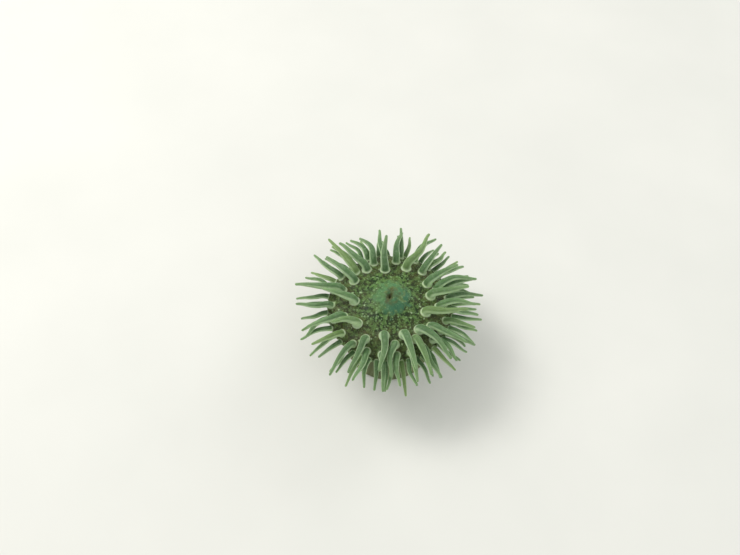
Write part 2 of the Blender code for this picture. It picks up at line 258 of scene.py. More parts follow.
@dataclass
class Outline:
    """The body's turned outline, read by the distance along it from the mouth, in millimetres."""
    steps: int = 24
    line: Array = field(init=False)
    arc: Array = field(init=False)
    normals: Array = field(init=False)

    def __post_init__(self) -> None:
        """Work out the curve, its distances and its outward normals."""
        self.line = smooth_line(OUTLINE_TURNS, self.steps)
        self.arc = distances_along(self.line)
        along = np.gradient(self.line, self.arc, axis=0)
        along /= np.linalg.norm(along, axis=1)[:, None]
        self.normals = np.column_stack((-along[:, 1], along[:, 0]))

    def nearest_arc(self, radius: Array, height: Array) -> Array:
        """Return how far along the outline the points are that are nearest some radii and heights."""
        places = np.column_stack((np.atleast_1d(radius), np.atleast_1d(height)))
        gap = np.linalg.norm(places[:, None] - self.line[None], axis=2)
        return self.arc[np.argmin(gap, axis=1)]

    def at(self, arc: Array) -> tuple[Array, Array]:
        """Return radius and height at some distances along the outline."""
        return np.interp(arc, self.arc, self.line[:, 0]), np.interp(arc, self.arc, self.line[:, 1])

    def surface(self, arc: Array, azimuth: Array) -> tuple[Array, Array]:
        """Find points of the turned surface.

        Args:
            arc: distances along the outline.
            azimuth: angles round the axis, in radians.

        Returns:
            The points and the outward normals there.
        """
        radius, height = self.at(arc)
        out = np.interp(arc, self.arc, self.normals[:, 0])
        up = np.interp(arc, self.arc, self.normals[:, 1])
        cos, sin = np.cos(azimuth), np.sin(azimuth)
        points = np.column_stack((radius * cos, radius * sin, height))
        normals = np.column_stack((out * cos, out * sin, up)) / np.hypot(out, up)[:, None]
        return points, normals

    def rim_index(self) -> int:
        """Return the index of the widest point."""
        return int(np.argmax(self.line[:, 0]))

    def rim_arc(self) -> float:
        """Return how far along the outline the widest point is."""
        return float(self.arc[self.rim_index()])

    def top_height(self, radius: Array) -> Array:
        """Return the height of the oral disc at a radius."""
        top = self.line[:self.rim_index() + 1]
        return np.interp(radius, top[:, 0], top[:, 1])

    def side_radius(self, height: float) -> float:
        """Return the radius of the side below the rim at a height."""
        side = self.line[self.rim_index():][::-1]
        return float(np.interp(height, side[:, 1], side[:, 0]))


# ---------- the crown

@dataclass
class Tentacle:
    """One tentacle: its ring, its root's azimuth in degrees and the points of its centre line."""
    plan: RingPlan
    azimuth: float
    length: float
    path: Array
    taper: float = 0.85

    def girth(self, share: Array, tip_rounding: float) -> Array:
        """Work out the radius: stout at the root, slim and round at the tip.

        Args:
            share: shares of the length.
            tip_rounding: how far the tip closes, up to 1 for a point.

        Returns:
            The radius at each share, in millimetres.
        """
        plan = self.plan
        body = plan.tip_radius + (plan.root_radius - plan.tip_radius) * (1.0 - share) ** self.taper
        tip_start = 1.0 - plan.tip_radius / self.length
        into_tip = np.clip((share - tip_start) / (1.0 - tip_start), 0.0, 1.0)
        return body * np.sqrt(np.maximum(0.0, 1.0 - tip_rounding * into_tip ** 2))


@dataclass
class Crown:
    """The tentacles, placed in their rings and bent by rule."""
    outline: Outline
    first_azimuth: float = 6.8
    turned_side: float = 236.0
    turned_by: float = 9.6
    path_points: int = 14
    knee_length: float = 3.4
    lean_at_root: float = 0.7
    lean_gained: float = 0.6
    wave: float = 0.38
    lean_variation: float = 13.0
    lift_variation: float = 12.0
    length_variation: float = 0.15

    def crowded(self, azimuth: float) -> float:
        """Return an even azimuth turned to its uneven place round the disc."""
        side = math.cos(math.radians(azimuth - self.turned_side))
        return azimuth + self.first_azimuth + self.turned_by * side

    def inner_azimuth(self, index: int) -> float:
        """Return the azimuth of an inner tentacle's root, also for indices past the last."""
        count = len(INNER_POSES)
        return self.crowded(index * FULL_CIRCLE / count) + INNER_POSES[index % count].turned

    @staticmethod
    def clumped(azimuth: float) -> tuple[float, float]:
        """Draw a tentacle towards the clumps near its root.

        Args:
            azimuth: the root's azimuth, in degrees.

        Returns:
            Its lean in degrees, and its share of the ring's length.
        """
        lean, share = 0.0, 1.0
        for clump in CLUMPS:
            away = (azimuth - clump.azimuth + 0.5 * FULL_CIRCLE) % FULL_CIRCLE - 0.5 * FULL_CIRCLE
            nearness = math.exp(-(away / clump.spread) ** 2)
            lean -= clump.pull * away * nearness
            share += clump.longer * nearness
        return lean, share

    def start_rise(self, radius: float, height: float) -> float:
        """Return the elevation, in degrees, of the body's normal at a root."""
        nearest = int(np.argmin(np.linalg.norm(self.outline.line - np.array((radius, height)), axis=1)))
        along = self.outline.line[nearest + 1] - self.outline.line[nearest - 1]
        return math.degrees(math.atan2(along[0], -along[1]))

    def bent(self, plan: RingPlan, index: int, root: tuple[float, float, float], length: float,
             lean: float, lift: float) -> Array:
        """Bend one centre line, which leaves along the disc's normal and turns outward.

        Args:
            plan: the tentacle's ring.
            index: its number in the ring.
            root: radius, height and azimuth of its root, the last in degrees.
            length: its length.
            lean: how far it leans aside, in degrees.
            lift: how far it is lifted, in degrees.

        Returns:
            The points of the centre line.
        """
        radius, height, azimuth = root
        start_rise = self.start_rise(radius, height)
        azimuth = math.radians(azimuth)
        step = length / (self.path_points - 1)
        swing = variation(index, plan.offset + Trait.WAVE.value)
        points = [np.array((radius * math.cos(azimuth), radius * math.sin(azimuth), height))]
        for i in range(self.path_points - 1):
            travelled = (i + 0.5) * step
            share = travelled / length
            knee = float(smooth_step(0.0, self.knee_length, travelled - 0.5 * step))
            rise = (plan.rise + lift) * (1.0 - share) + (plan.droop + lift) * share
            rise = math.radians(start_rise * (1.0 - knee) + rise * knee)
            heading = azimuth + math.radians(lean * knee * (self.lean_at_root + self.lean_gained * share))
            heading += self.wave * math.sin(FULL_TURN * share) * swing
            ahead = np.array((math.cos(rise) * math.cos(heading), math.cos(rise) * math.sin(heading),
                              math.sin(rise)))
            points.append(points[-1] + step * ahead)
        return np.array(points)

    def place(self, plan: RingPlan, index: int) -> Tentacle:
        """Place and bend one tentacle, in its unsettled form.

        Args:
            plan: its ring.
            index: its number in the ring.

        Returns:
            The tentacle.
        """
        azimuth = self.crowded(index * FULL_CIRCLE / plan.count + plan.offset)
        radius, height = plan.root
        if plan.ring is Ring.SECOND:
            azimuth = 0.5 * (self.inner_azimuth(index) + self.inner_azimuth(index + 1))
        if plan.ring is Ring.INNER:
            azimuth = self.inner_azimuth(index)
            pose = INNER_POSES[index]
            lean, lift, share = pose.lean, pose.lift, pose.length_share
            radius += pose.outward
            height = float(self.outline.top_height(radius))
        else:
            lean, share = self.clumped(azimuth)
            lean += self.lean_variation * variation(index, Trait.LEAN.value)
            lift = self.lift_variation * variation(index, Trait.LIFT.value)
            share += self.length_variation * variation(index, Trait.LENGTH.value)
        length = plan.length * share
        path = self.bent(plan, index, (radius, height, azimuth), length, lean, lift)
        return Tentacle(plan, azimuth, length, path)

    def build(self) -> list[Tentacle]:
        """Return all the tentacles, placed ring after ring and settled."""
        tentacles = [self.place(plan, index) for plan in RING_PLANS for index in range(plan.count)]
        Settling(self.outline, tentacles).run()
        return tentacles


@dataclass
class Settling:
    """Moves the centre lines apart in small rounds, until they clear each other and the disc."""
    outline: Outline
    tentacles: list[Tentacle]
    tip_rounding: float = 0.75
    clearance: float = 0.5
    disc_clearance: float = 0.25
    rounds: int = 220
    look_every: int = 20
    neighbour_reach: float = 5.0
    push_share: float = 0.35
    disc_push_share: float = 0.4
    stiffness: float = 0.22
    pose_pull: float = 0.01
    held: int = 2
    rest: Array = field(init=False)
    thick: Array = field(init=False)
    step: Array = field(init=False)
    owner: Array = field(init=False)
    order: Array = field(init=False)

    def __post_init__(self) -> None:
        """Note the unsettled lines, and the girth, owner and order of every point."""
        self.rest = np.array([tentacle.path for tentacle in self.tentacles])
        count, points, _ = self.rest.shape
        shares = np.linspace(0.0, 1.0, points)
        girths = [tentacle.girth(shares, self.tip_rounding) for tentacle in self.tentacles]
        self.thick = np.array(girths).reshape(-1)
        self.step = np.array([tentacle.length / (points - 1) for tentacle in self.tentacles])
        self.owner = np.repeat(np.arange(count), points)
        self.order = np.tile(np.arange(points), count)

    def neighbours(self, flat: Array) -> tuple[Array, Array]:
        """Find the pairs of points of different tentacles that are near each other.

        Args:
            flat: all the points, line after line.

        Returns:
            The numbers of each pair's first and second points.
        """
        gap = np.linalg.norm(flat[:, None] - flat[None], axis=2)
        first, second = np.nonzero(gap < self.neighbour_reach)
        apart = (first < second) & (self.owner[first] != self.owner[second])
        return first[apart], second[apart]

    def pushed(self, flat: Array, first: Array, second: Array) -> Array:
        """Push pairs of points that are too close apart.

        Args:
            flat: all the points, line after line.
            first: the numbers of the pairs' first points.
            second: those of their second points.

        Returns:
            The points after the push. Those held at the roots stay.
        """
        between = flat[first] - flat[second]
        distance = np.linalg.norm(between, axis=1)
        short = self.thick[first] + self.thick[second] + self.clearance - distance
        near = short > 0.0
        push = between[near] / distance[near, None] * (self.push_share * short[near, None])
        move = np.zeros_like(flat)
        np.add.at(move, first[near], push)
        np.add.at(move, second[near], -push)
        move[self.order < self.held] = 0.0
        return flat + move

    def lifted(self, flat: Array) -> Array:
        """Lift points that are too low over the disc.

        Args:
            flat: all the points, line after line.

        Returns:
            The points after the lift.
        """
        rim = self.outline.line[self.outline.rim_index(), 0]
        radius = np.linalg.norm(flat[:, :2], axis=1)
        floor = self.outline.top_height(np.minimum(radius, rim)) + self.thick + self.disc_clearance
        low = (self.order > self.held) & (radius < rim) & (flat[:, 2] < floor)
        flat[low, 2] += self.disc_push_share * (floor[low] - flat[low, 2])
        return flat

    def eased(self, place: Array) -> Array:
        """Ease sharp bends, draw the lines back to their pose and give them their lengths again.

        Args:
            place: the points by tentacle.

        Returns:
            The points after it.
        """
        held = self.held
        strain = place - self.rest
        beside = 0.5 * (strain[:, held - 1:-2] + strain[:, held + 1:])
        place[:, held:-1] += self.stiffness * (beside - strain[:, held:-1])
        place[:, held:] -= self.pose_pull * strain[:, held:]
        for i in range(held, place.shape[1]):
            along = place[:, i] - place[:, i - 1]
            along = along / np.linalg.norm(along, axis=1)[:, None]
            place[:, i] = place[:, i - 1] + along * self.step[:, None]
        return place

    def run(self) -> None:
        """Settle the tentacles and give them their new centre lines."""
        place = self.rest.copy()
        for turn in range(self.rounds):
            flat = place.reshape(-1, 3)
            if turn % self.look_every == 0:
                first, second = self.neighbours(flat)
            flat = self.lifted(self.pushed(flat, first, second))
            place = self.eased(flat.reshape(self.rest.shape))
        for tentacle, path in zip(self.tentacles, place):
            tentacle.path = path


# ---------- node trees

# The sockets of a Mix node that mixes colours: its share, the colour below, the one above, the result.
MIX_SHARE, MIX_BELOW, MIX_ABOVE, MIX_RESULT = 0, 6, 7, 2


@dataclass(frozen=True)
class Fade:
    """A value's smooth change: the inputs it begins and ends at, and what it goes from and to."""
    low: object
    high: object
    start: float = 0.0
    end: float = 1.0


@dataclass
class Board:
    """Adds nodes to a tree and joins them."""
    tree: Tree

    def add(self, kind: str, settings: dict | None = None, **values: object) -> Node:
        """Add a node.

        Args:
            kind: the node's type.
            settings: its properties.
            values: its inputs by name, with _ for a space: a socket to join, or a constant.

        Returns:
            The node.
        """
        node = self.tree.nodes.new(kind)
        for name, value in (settings or {}).items():
            setattr(node, name, value)
        for name, value in values.items():
            self.feed(node.inputs[name.replace("_", " ")], value)
        return node

    def feed(self, socket: Socket, value: object) -> None:
        """Join a socket to an input, or set the input's constant."""
        if isinstance(value, bpy.types.NodeSocket):
            self.tree.links.new(value, socket)
        else:
            socket.default_value = value

    def math(self, operation: str, *values: object) -> Socket:
        """Do a sum.

        Args:
            operation: what the Math node does.
            values: its inputs in order, each a socket or a constant.

        Returns:
            The result.
        """
        node = self.add("ShaderNodeMath", {"operation": operation})
        for socket, value in zip(node.inputs, values):
            self.feed(socket, value)
        return node.outputs["Value"]

    def vector(self, operation: str, vector: object, second: object) -> Socket:
        """Return the result of a Vector Math node, whose second input may be the scale."""
        node = self.add("ShaderNodeVectorMath", {"operation": operation}, Vector=vector)
        self.feed(node.inputs["Scale" if operation == "SCALE" else 1], second)
        return node.outputs["Vector"]

    def rise(self, value: object, fade: Fade) -> Socket:
        """Return a value's smooth change."""
        node = self.add("ShaderNodeMapRange", {"interpolation_type": "SMOOTHSTEP"}, Value=value,
                        From_Min=fade.low, From_Max=fade.high, To_Min=fade.start, To_Max=fade.end)
        return node.outputs["Result"]

    def lay(self, below: object, above: object, mask: object, most: object = None,
            how: str = "MIX") -> Socket:
        """Lay one colour over another.

        Args:
            below: the colour below.
            above: the colour above.
            mask: where it lies, from 0 to 1.
            most: its share where the mask is 1, or nothing for the whole of it.
            how: the way that the two mix.

        Returns:
            The colour.
        """
        share = mask if most is None else self.math("MULTIPLY", mask, most)
        node = self.add("ShaderNodeMix", {"data_type": "RGBA", "blend_type": how})
        for number, given in ((MIX_SHARE, share), (MIX_BELOW, below), (MIX_ABOVE, above)):
            self.feed(node.inputs[number], given)
        return node.outputs[MIX_RESULT]

    def layers(self, colour: object, *layers: tuple) -> Socket:
        """Return a colour with others laid over it in turn, each with its mask and most."""
        for layer in layers:
            colour = self.lay(colour, *layer)
        return colour

    def mark(self, name: str) -> Socket:
        """Return a value painted on the skin's points."""
        return self.add("ShaderNodeAttribute", {"attribute_name": name}).outputs["Fac"]

    def group(self, tree: Tree, **values: object) -> Node:
        """Return a node that holds a group, its inputs fed by name as in add."""
        return self.add("ShaderNodeGroup", {"node_tree": tree}, **values)


def new_group(name: str, inputs: dict[str, str], outputs: dict[str, str],
              kind: str = "ShaderNodeTree") -> Tree:
    """Make an empty node group.

    Args:
        name: the group's name.
        inputs: the kind of each input's socket, by name.
        outputs: the kind of each output's socket, by name.
        kind: the kind of tree.

    Returns:
        The group, with its input and output nodes placed.
    """
    tree = bpy.data.node_groups.new(name, kind)
    for side, sockets in (("INPUT", inputs), ("OUTPUT", outputs)):
        for label, socket in sockets.items():
            tree.interface.new_socket(label, in_out=side, socket_type=f"NodeSocket{socket}")
    tree.nodes.new("NodeGroupInput")
    tree.nodes.new("NodeGroupOutput")
    return tree


# ---------- the tentacles' tubes

@dataclass
class TubeMaker:
    """Sweeps round tubes along the centre lines with a tree of Geometry Nodes."""
    sides: int = 16
    rings: int = 27
    cap_rings: int = 5
    first_ring: float = 0.7
    even_share: float = 0.75
    crowding: float = 1.7
    guide_steps: int = 8
    tip_rounding: float = 0.998
    root_flare: float = 0.1
    flare_length: float = 0.7
    tip_slimming: float = 0.24
    slimming_start: float = 0.35
    unevenness: float = 0.16
    uneven_scale: float = 520.0
    uneven_detail: float = 1.0
    seed: float = 3.0

    def shares(self, tentacle: Tentacle) -> Array:
        """Space the rings along a tentacle, closer at the root and round the tip.

        Args:
            tentacle: the tentacle.

        Returns:
            The shares of its length that the rings stand at.
        """
        root = self.first_ring / tentacle.length
        tip = 1.0 - tentacle.plan.tip_radius / tentacle.length
        body = np.linspace(0.0, 1.0, self.rings - self.cap_rings - 1)
        body = self.even_share * body + (1.0 - self.even_share) * body ** self.crowding
        turn = np.linspace(0.0, 0.5 * math.pi, self.cap_rings + 1)[1:]
        return np.concatenate(((0.0,), root + (tip - root) * body, tip + (1.0 - tip) * np.sin(turn)))

    def radii(self, tentacle: Tentacle, shares: Array) -> Array:
        """Return a tube's radii at shares of its length: flared at the root, finer at the tip."""
        radii = tentacle.girth(shares, self.tip_rounding)
        radii *= 1.0 + self.root_flare * np.exp(-(shares * tentacle.length / self.flare_length) ** 2)
        return radii * (1.0 - self.tip_slimming * smooth_step(self.slimming_start, 1.0, shares))

    def guide(self, tentacles: list[Tentacle]) -> bpy.types.Object:
        """Draw the centre lines as one curve object.

        Args:
            tentacles: the settled tentacles.

        Returns:
            The object, with a line for each tentacle and its girth as the points' radius.
        """
        curve = bpy.data.curves.new("tentacle_guides", "CURVE")
        curve.dimensions = "3D"
        curve.twist_mode = "MINIMUM"
        for tentacle in tentacles:
            line = smooth_line(tentacle.path, self.guide_steps)
            travelled = distances_along(line)
            shares = self.shares(tentacle)
            places = [np.interp(shares * travelled[-1], travelled, line[:, i]) * MM for i in range(3)]
            spline = curve.splines.new("POLY")
            spline.points.add(len(shares) - 1)
            for point, place, radius in zip(spline.points, zip(*places), self.radii(tentacle, shares)):
                point.co = (*place, 1.0)
                point.radius = float(radius)
        guide = bpy.data.objects.new("tentacle_guides", curve)
        bpy.context.collection.objects.link(guide)
        return guide

    def tree(self) -> Tree:
        """Build the tree that sweeps a round, uneven tube along each guide.

        Returns:
            The tree, with named inputs for its sizes, its seed and its material.
        """
        tree = new_group(
            "tentacle tubes",
            {"Geometry": "Geometry", "Sides": "Int", "Unit Radius": "Float", "Unevenness": "Float",
             "Uneven Scale": "Float", "Seed": "Float", "Flesh": "Material"},
            {"Geometry": "Geometry"},
            "GeometryNodeTree",
        )
        board = Board(tree)
        given = tree.nodes["Group Input"].outputs
        section = board.add("GeometryNodeCurvePrimitiveCircle", Resolution=given["Sides"],
                            Radius=given["Unit Radius"])
        girth = board.add("GeometryNodeInputRadius")
        sweep = board.add("GeometryNodeCurveToMesh", Curve=given["Geometry"],
                          Profile_Curve=section.outputs["Curve"], Scale=girth.outputs["Radius"])
        ripple = board.add("ShaderNodeTexNoise", {"noise_dimensions": "4D"}, W=given["Seed"],
                           Scale=given["Uneven Scale"], Detail=self.uneven_detail)
        centred = board.math("SUBTRACT", ripple.outputs["Fac"], 0.5)
        height = board.math("MULTIPLY", centred, given["Unevenness"])
        normal = board.add("GeometryNodeInputNormal").outputs["Normal"]
        moved = board.add("GeometryNodeSetPosition", Geometry=sweep.outputs["Mesh"],
                          Offset=board.vector("SCALE", normal, height))
        smooth = board.add("GeometryNodeSetShadeSmooth", Geometry=moved.outputs["Geometry"])
        real = board.add("GeometryNodeRealizeInstances", Geometry=smooth.outputs["Geometry"])
        dressed = board.add("GeometryNodeSetMaterial", Geometry=real.outputs["Geometry"],
                            Material=given["Flesh"])
        board.feed(tree.nodes["Group Output"].inputs["Geometry"], dressed.outputs["Geometry"])
        return tree

    def build(self, tentacles: list[Tentacle], flesh: Material) -> Array:
        """Sweep the tubes.

        Args:
            tentacles: the settled tentacles.
            flesh: the material of the skin.

        Returns:
            The tubes' points, in millimetres, by tentacle, ring and side.
        """
        guide = self.guide(tentacles)
        curve = guide.data
        tree = self.tree()
        modifier = guide.modifiers.new("tubes", "NODES")
        modifier.node_group = tree
        values = {"Sides": self.sides, "Unit Radius": MM, "Unevenness": self.unevenness * MM,
                  "Uneven Scale": self.uneven_scale, "Seed": self.seed, "Flesh": flesh}
        for socket in tree.interface.items_tree:
            if socket.in_out == "INPUT" and socket.name in values:
                modifier[socket.identifier] = values[socket.name]
        depsgraph = bpy.context.evaluated_depsgraph_get()
        mesh = bpy.data.meshes.new_from_object(guide.evaluated_get(depsgraph))
        places = np.empty(len(mesh.vertices) * 3, dtype=np.float32)
        mesh.vertices.foreach_get("co", places)
        guide.modifiers.remove(modifier)
        bpy.data.objects.remove(guide)
        bpy.data.curves.remove(curve)
        bpy.data.meshes.remove(mesh)
        return places.reshape(len(tentacles), self.rings, self.sides, 3).astype(float) / MM


# ---------- the skin's mesh

# Values painted on the skin's points, and what they are where nothing is said.
MARKS = {
    "arc": 0.0, "below": 0.0, "near_root": 0.0, "sucker": 0.0, "ridge": 0.5, "line": 0.0,
    # one of these values carries the tentacles' pale flanks, which are painted rim light
    "tube": 0.0, "along": 0.0, "flank": 0.0, "tone": 0.5,
}


@dataclass(frozen=True)
class Sheet:
    """One flat patch of the unwrapped skin, in millimetres."""
    number: int
    width: float
    height: float

    def strip(self, sides: int, level: float) -> Array:
        """Return the flat places of a closed loop laid straight across, its first point repeated."""
        across = np.linspace(0.0, self.width, sides + 1)
        return np.column_stack((across, np.full(sides + 1, level)))

    def round(self, reach: Array, azimuth: Array) -> Array:
        """Return the flat places of points at some reaches and azimuths from the middle."""
        middle = np.array((0.5 * self.width, 0.5 * self.height))
        return middle + np.column_stack((reach * np.cos(azimuth), reach * np.sin(azimuth)))


@dataclass
class SkinMesh:
    """Points, faces, painted values and flat sheets of the skin while it is put together."""
    sheet_gap: float = 0.5
    first_width: float = 110.0
    width_step: float = 1.0
    points: list[Array] = field(default_factory=list)
    faces: list[tuple[int, ...]] = field(default_factory=list)
    flats: list[Array] = field(default_factory=list)
    sheets: list[Sheet] = field(default_factory=list)
    sheet_of: list[int] = field(default_factory=list)
    marks: dict[str, list[Array]] = field(default_factory=lambda: {name: [] for name in MARKS})
    count: int = 0

    def new_sheet(self, width: float, height: float) -> Sheet:
        """Return a new flat sheet of the given size."""
        self.sheets.append(Sheet(len(self.sheets), width, height))
        return self.sheets[-1]

    def add_points(self, points: Array, **marks: Array) -> Array:
        """Add points.

        Args:
            points: their places, in millimetres.
            marks: their painted values, by the names in MARKS.

        Returns:
            Their numbers.
        """
        numbers = np.arange(self.count, self.count + len(points))
        self.points.append(points)
        for name, usual in MARKS.items():
            values = marks.get(name, usual)
            self.marks[name].append(np.broadcast_to(values, len(points)).astype(float))
        self.count += len(points)
        return numbers

    def add_face(self, corners: list[int], sheet: Sheet, flat: Array) -> None:
        """Add one face by the numbers of its corners, with their places on its flat sheet."""
        self.faces.append(tuple(int(corner) for corner in corners))
        self.flats.append(np.asarray(flat))
        self.sheet_of.append(sheet.number)

    def add_band(self, lower: Array, upper: Array, sheet: Sheet, lower_flat: Array,
                 upper_flat: Array) -> None:
        """Join two closed loops of equally many points.

        Args:
            lower: the first loop's points.
            upper: the second loop's, further along the surface.
            sheet: the flat sheet that the band lies on.
            lower_flat: the first loop's places there, its first point repeated at the end.
            upper_flat: the second loop's.
        """
        for i in range(len(lower)):
            j = (i + 1) % len(lower)
            self.add_face([lower[i], lower[j], upper[j], upper[i]], sheet,
                          (lower_flat[i], lower_flat[i + 1], upper_flat[i + 1], upper_flat[i]))

    def add_fan(self, loop: Array, pole: int, sheet: Sheet, loop_flat: Array, pole_flat: Array) -> None:
        """Close a loop with triangles that meet at a pole, given as in add_band."""
        for i in range(len(loop)):
            self.add_face([loop[i], loop[(i + 1) % len(loop)], pole], sheet,
                          (loop_flat[i], loop_flat[i + 1], pole_flat))

    def shelved(self, width: float) -> tuple[Array, float]:
        """Lay the sheets out on shelves, the tallest first.

        Args:
            width: how wide the shelves are.

        Returns:
            Each sheet's place, and the height that all the shelves take.
        """
        places = np.zeros((len(self.sheets), 2))
        across, floor, tallest = self.sheet_gap, self.sheet_gap, 0.0
        for sheet in sorted(self.sheets, key=lambda item: (-item.height, item.number)):
            if across + sheet.width + self.sheet_gap > width:
                across, floor, tallest = self.sheet_gap, floor + tallest + self.sheet_gap, 0.0
            places[sheet.number] = (across, floor)
            across += sheet.width + self.sheet_gap
            tallest = max(tallest, sheet.height)
        return places, floor + tallest + self.sheet_gap

    def unwrapped(self) -> Array:
        """Lay the skin out on a square just large enough for its sheets.

        Returns:
            Every face corner's place on that square, from 0 to 1.
        """
        width = self.first_width
        places, height = self.shelved(width)
        while height > width:
            width += self.width_step
            places, height = self.shelved(width)
        offsets = [places[number] for number in self.sheet_of]
        return np.vstack([flat + offset for flat, offset in zip(self.flats, offsets)]) / width

    def finished(self, name: str, flesh: Material) -> bpy.types.Object:
        """Turn what was put together into a piece.

        Args:
            name: the piece's name.
            flesh: its material.

        Returns:
            The piece in metres, smooth, with its painted values as attributes.
        """
        mesh = bpy.data.meshes.new(name)
        mesh.from_pydata((np.vstack(self.points) * MM).tolist(), [], self.faces)
        mesh.update()
        for mark, values in self.marks.items():
            layer = mesh.attributes.new(mark, "FLOAT", "POINT")
            layer.data.foreach_set("value", np.concatenate(values).astype(np.float32))
        flat = mesh.uv_layers.new(name="OFBake")
        flat.uv.foreach_set("vector", self.unwrapped().astype(np.float32).ravel())
        mesh.shade_smooth()
        mesh.materials.append(flesh)
        piece = bpy.data.objects.new(name, mesh)
        bpy.context.collection.objects.link(piece)
        return piece


@dataclass
class Web:
    """The oral disc's sheet laid flat: loops round its holes and its edge, and points between them."""
    merge_distance: float = 1e-7
    arcs: list[Array] = field(default_factory=list)
    turns: list[Array] = field(default_factory=list)
    hole_of: list[Array] = field(default_factory=list)
    edges: list[tuple[int, int]] = field(default_factory=list)
    holes: int = 0
    count: int = 0

    def add(self, arc: Array, turn: Array) -> Array:
        """Add loose points.

        Args:
            arc: their distances along the outline.
            turn: their azimuths, in radians.

        Returns:
            Their numbers.
        """
        self.arcs.append(arc)
        self.turns.append(turn)
        self.hole_of.append(np.full(len(arc), -1))
        self.count += len(arc)
        return np.arange(self.count - len(arc), self.count)

    def add_loop(self, arc: Array, turn: Array, round_hole: bool) -> Array:
        """Add points that are joined into a closed loop.

        Args:
            arc: their distances along the outline.
            turn: their azimuths, in radians.
            round_hole: whether a hole lies within the loop.

        Returns:
            Their numbers.
        """
        numbers = self.add(arc, turn)
        self.edges += list(zip(numbers.tolist(), np.roll(numbers, -1).tolist()))
        if round_hole:
            self.hole_of[-1][:] = self.holes
            self.holes += 1
        return numbers

    def places(self) -> tuple[Array, Array]:
        """Return every point's distance along the outline, and its azimuth."""
        return np.concatenate(self.arcs), np.concatenate(self.turns)

    def spun(self) -> list[Array]:
        """Join the points with triangles, but for those that would close a hole.

        Returns:
            The numbers of each triangle's corners.
        """
        arc, turn = self.places()
        hole_of = np.concatenate(self.hole_of)
        plane = [Vector((a * math.cos(t), a * math.sin(t))) for a, t in zip(arc, turn)]
        found = delaunay_2d_cdt(plane, self.edges, [], 0, self.merge_distance, True)
        source = np.array([ids[0] if ids else -1 for ids in found[3]])
        if len(source) != self.count or source.min() < 0:
            raise RuntimeError(f"the disc's sheet gained or lost points: {self.count} to {len(source)}")
        triangles = []
        for face in found[2]:
            corners = source[list(face)]
            holes = set(hole_of[corners])
            if len(holes) > 1 or -1 in holes:
                triangles.append(corners)
        return triangles


# ---------- the relief of the flesh

@dataclass(frozen=True)
class DiscRelief:
    """The oral disc's radial furrows and lumps, by the distance from the mouth, in millimetres."""
    zone: Zone = Zone(5.5, 8.0, 21.0, 24.0)
    furrows: Swayed = Swayed(48.0, 0.0, (Wave(5.0, size=0.9), Wave(0.0, 1.7, 0.5)))
    furrow_height: float = 0.06
    fine_furrows: Swayed = Swayed(96.0, 0.0, (Wave(3.0, 0.6, 1.3),))
    fine_height: float = 0.015
    lumps: Swayed = Swayed(0.0, 3.1, (Wave(7.0, size=4.0),))
    lump_breaks: Wave = Wave(23.0, 1.1)
    lump_height: float = 0.04
    sunk: float = 0.04

    def stand(self, arc: Array, azimuth: Array) -> Array:
        """Work out how far the disc stands out.

        Args:
            arc: distances along the outline.
            azimuth: angles round the axis, in radians.

        Returns:
            How far each point stands out.
        """
        furrow = 0.5 + 0.5 * np.cos(self.furrows.angle(azimuth, arc))
        fine = np.cos(self.fine_furrows.angle(azimuth, arc))
        lumps = np.sin(self.lumps.angle(azimuth, arc)) * self.lump_breaks.at(azimuth, arc)
        relief = self.furrow_height * furrow ** 2 + self.fine_height * fine + self.lump_height * lumps
        return self.zone.strength(arc) * (relief - self.sunk)


@dataclass(frozen=True)
class ConeRelief:
    """The lobes and ridges of the cone, and the pleats of the lips, in millimetres."""
    zone: Zone = Zone(1.6, 3.0, 7.5, 9.5)
    lobes: Swayed = Swayed(12.0, 0.0, (Wave(3.0, size=0.8, phase=1.0),))
    lobe_height: float = 0.12
    ridges: Swayed = Swayed(24.0, 0.0, (Wave(2.0, size=1.1),))
    ridge_height: float = 0.015
    lumps: Swayed = Swayed(0.0, 2.3, (Wave(4.0, size=2.0),))
    lumps_around: float = 9.0
    lump_height: float = 0.1
    sunk: float = 0.07
    lip_zone: Zone = Zone(0.6, 1.6, 3.0, 4.6)
    pleats: Swayed = Swayed(16.0, 0.0, (Wave(3.0, size=0.6),))
    pleat_height: float = 0.03

    def stand(self, arc: Array, azimuth: Array) -> Array:
        """Work out how far the cone and the lips stand out.

        Args:
            arc: distances along the outline.
            azimuth: angles round the axis, in radians.

        Returns:
            How far each point stands out.
        """
        lobes = 0.5 + 0.5 * np.cos(self.lobes.angle(azimuth, arc))
        ridges = np.cos(self.ridges.angle(azimuth, arc))
        lumps = np.sin(self.lumps.angle(azimuth, arc)) * np.cos(self.lumps_around * azimuth)
        pleats = np.cos(self.pleats.angle(azimuth, arc))
        relief = self.lobe_height * lobes + self.ridge_height * ridges + self.lump_height * lumps
        lips = self.lip_zone.strength(arc) * self.pleat_height * pleats
        return self.zone.strength(arc) * (relief - self.sunk) + lips


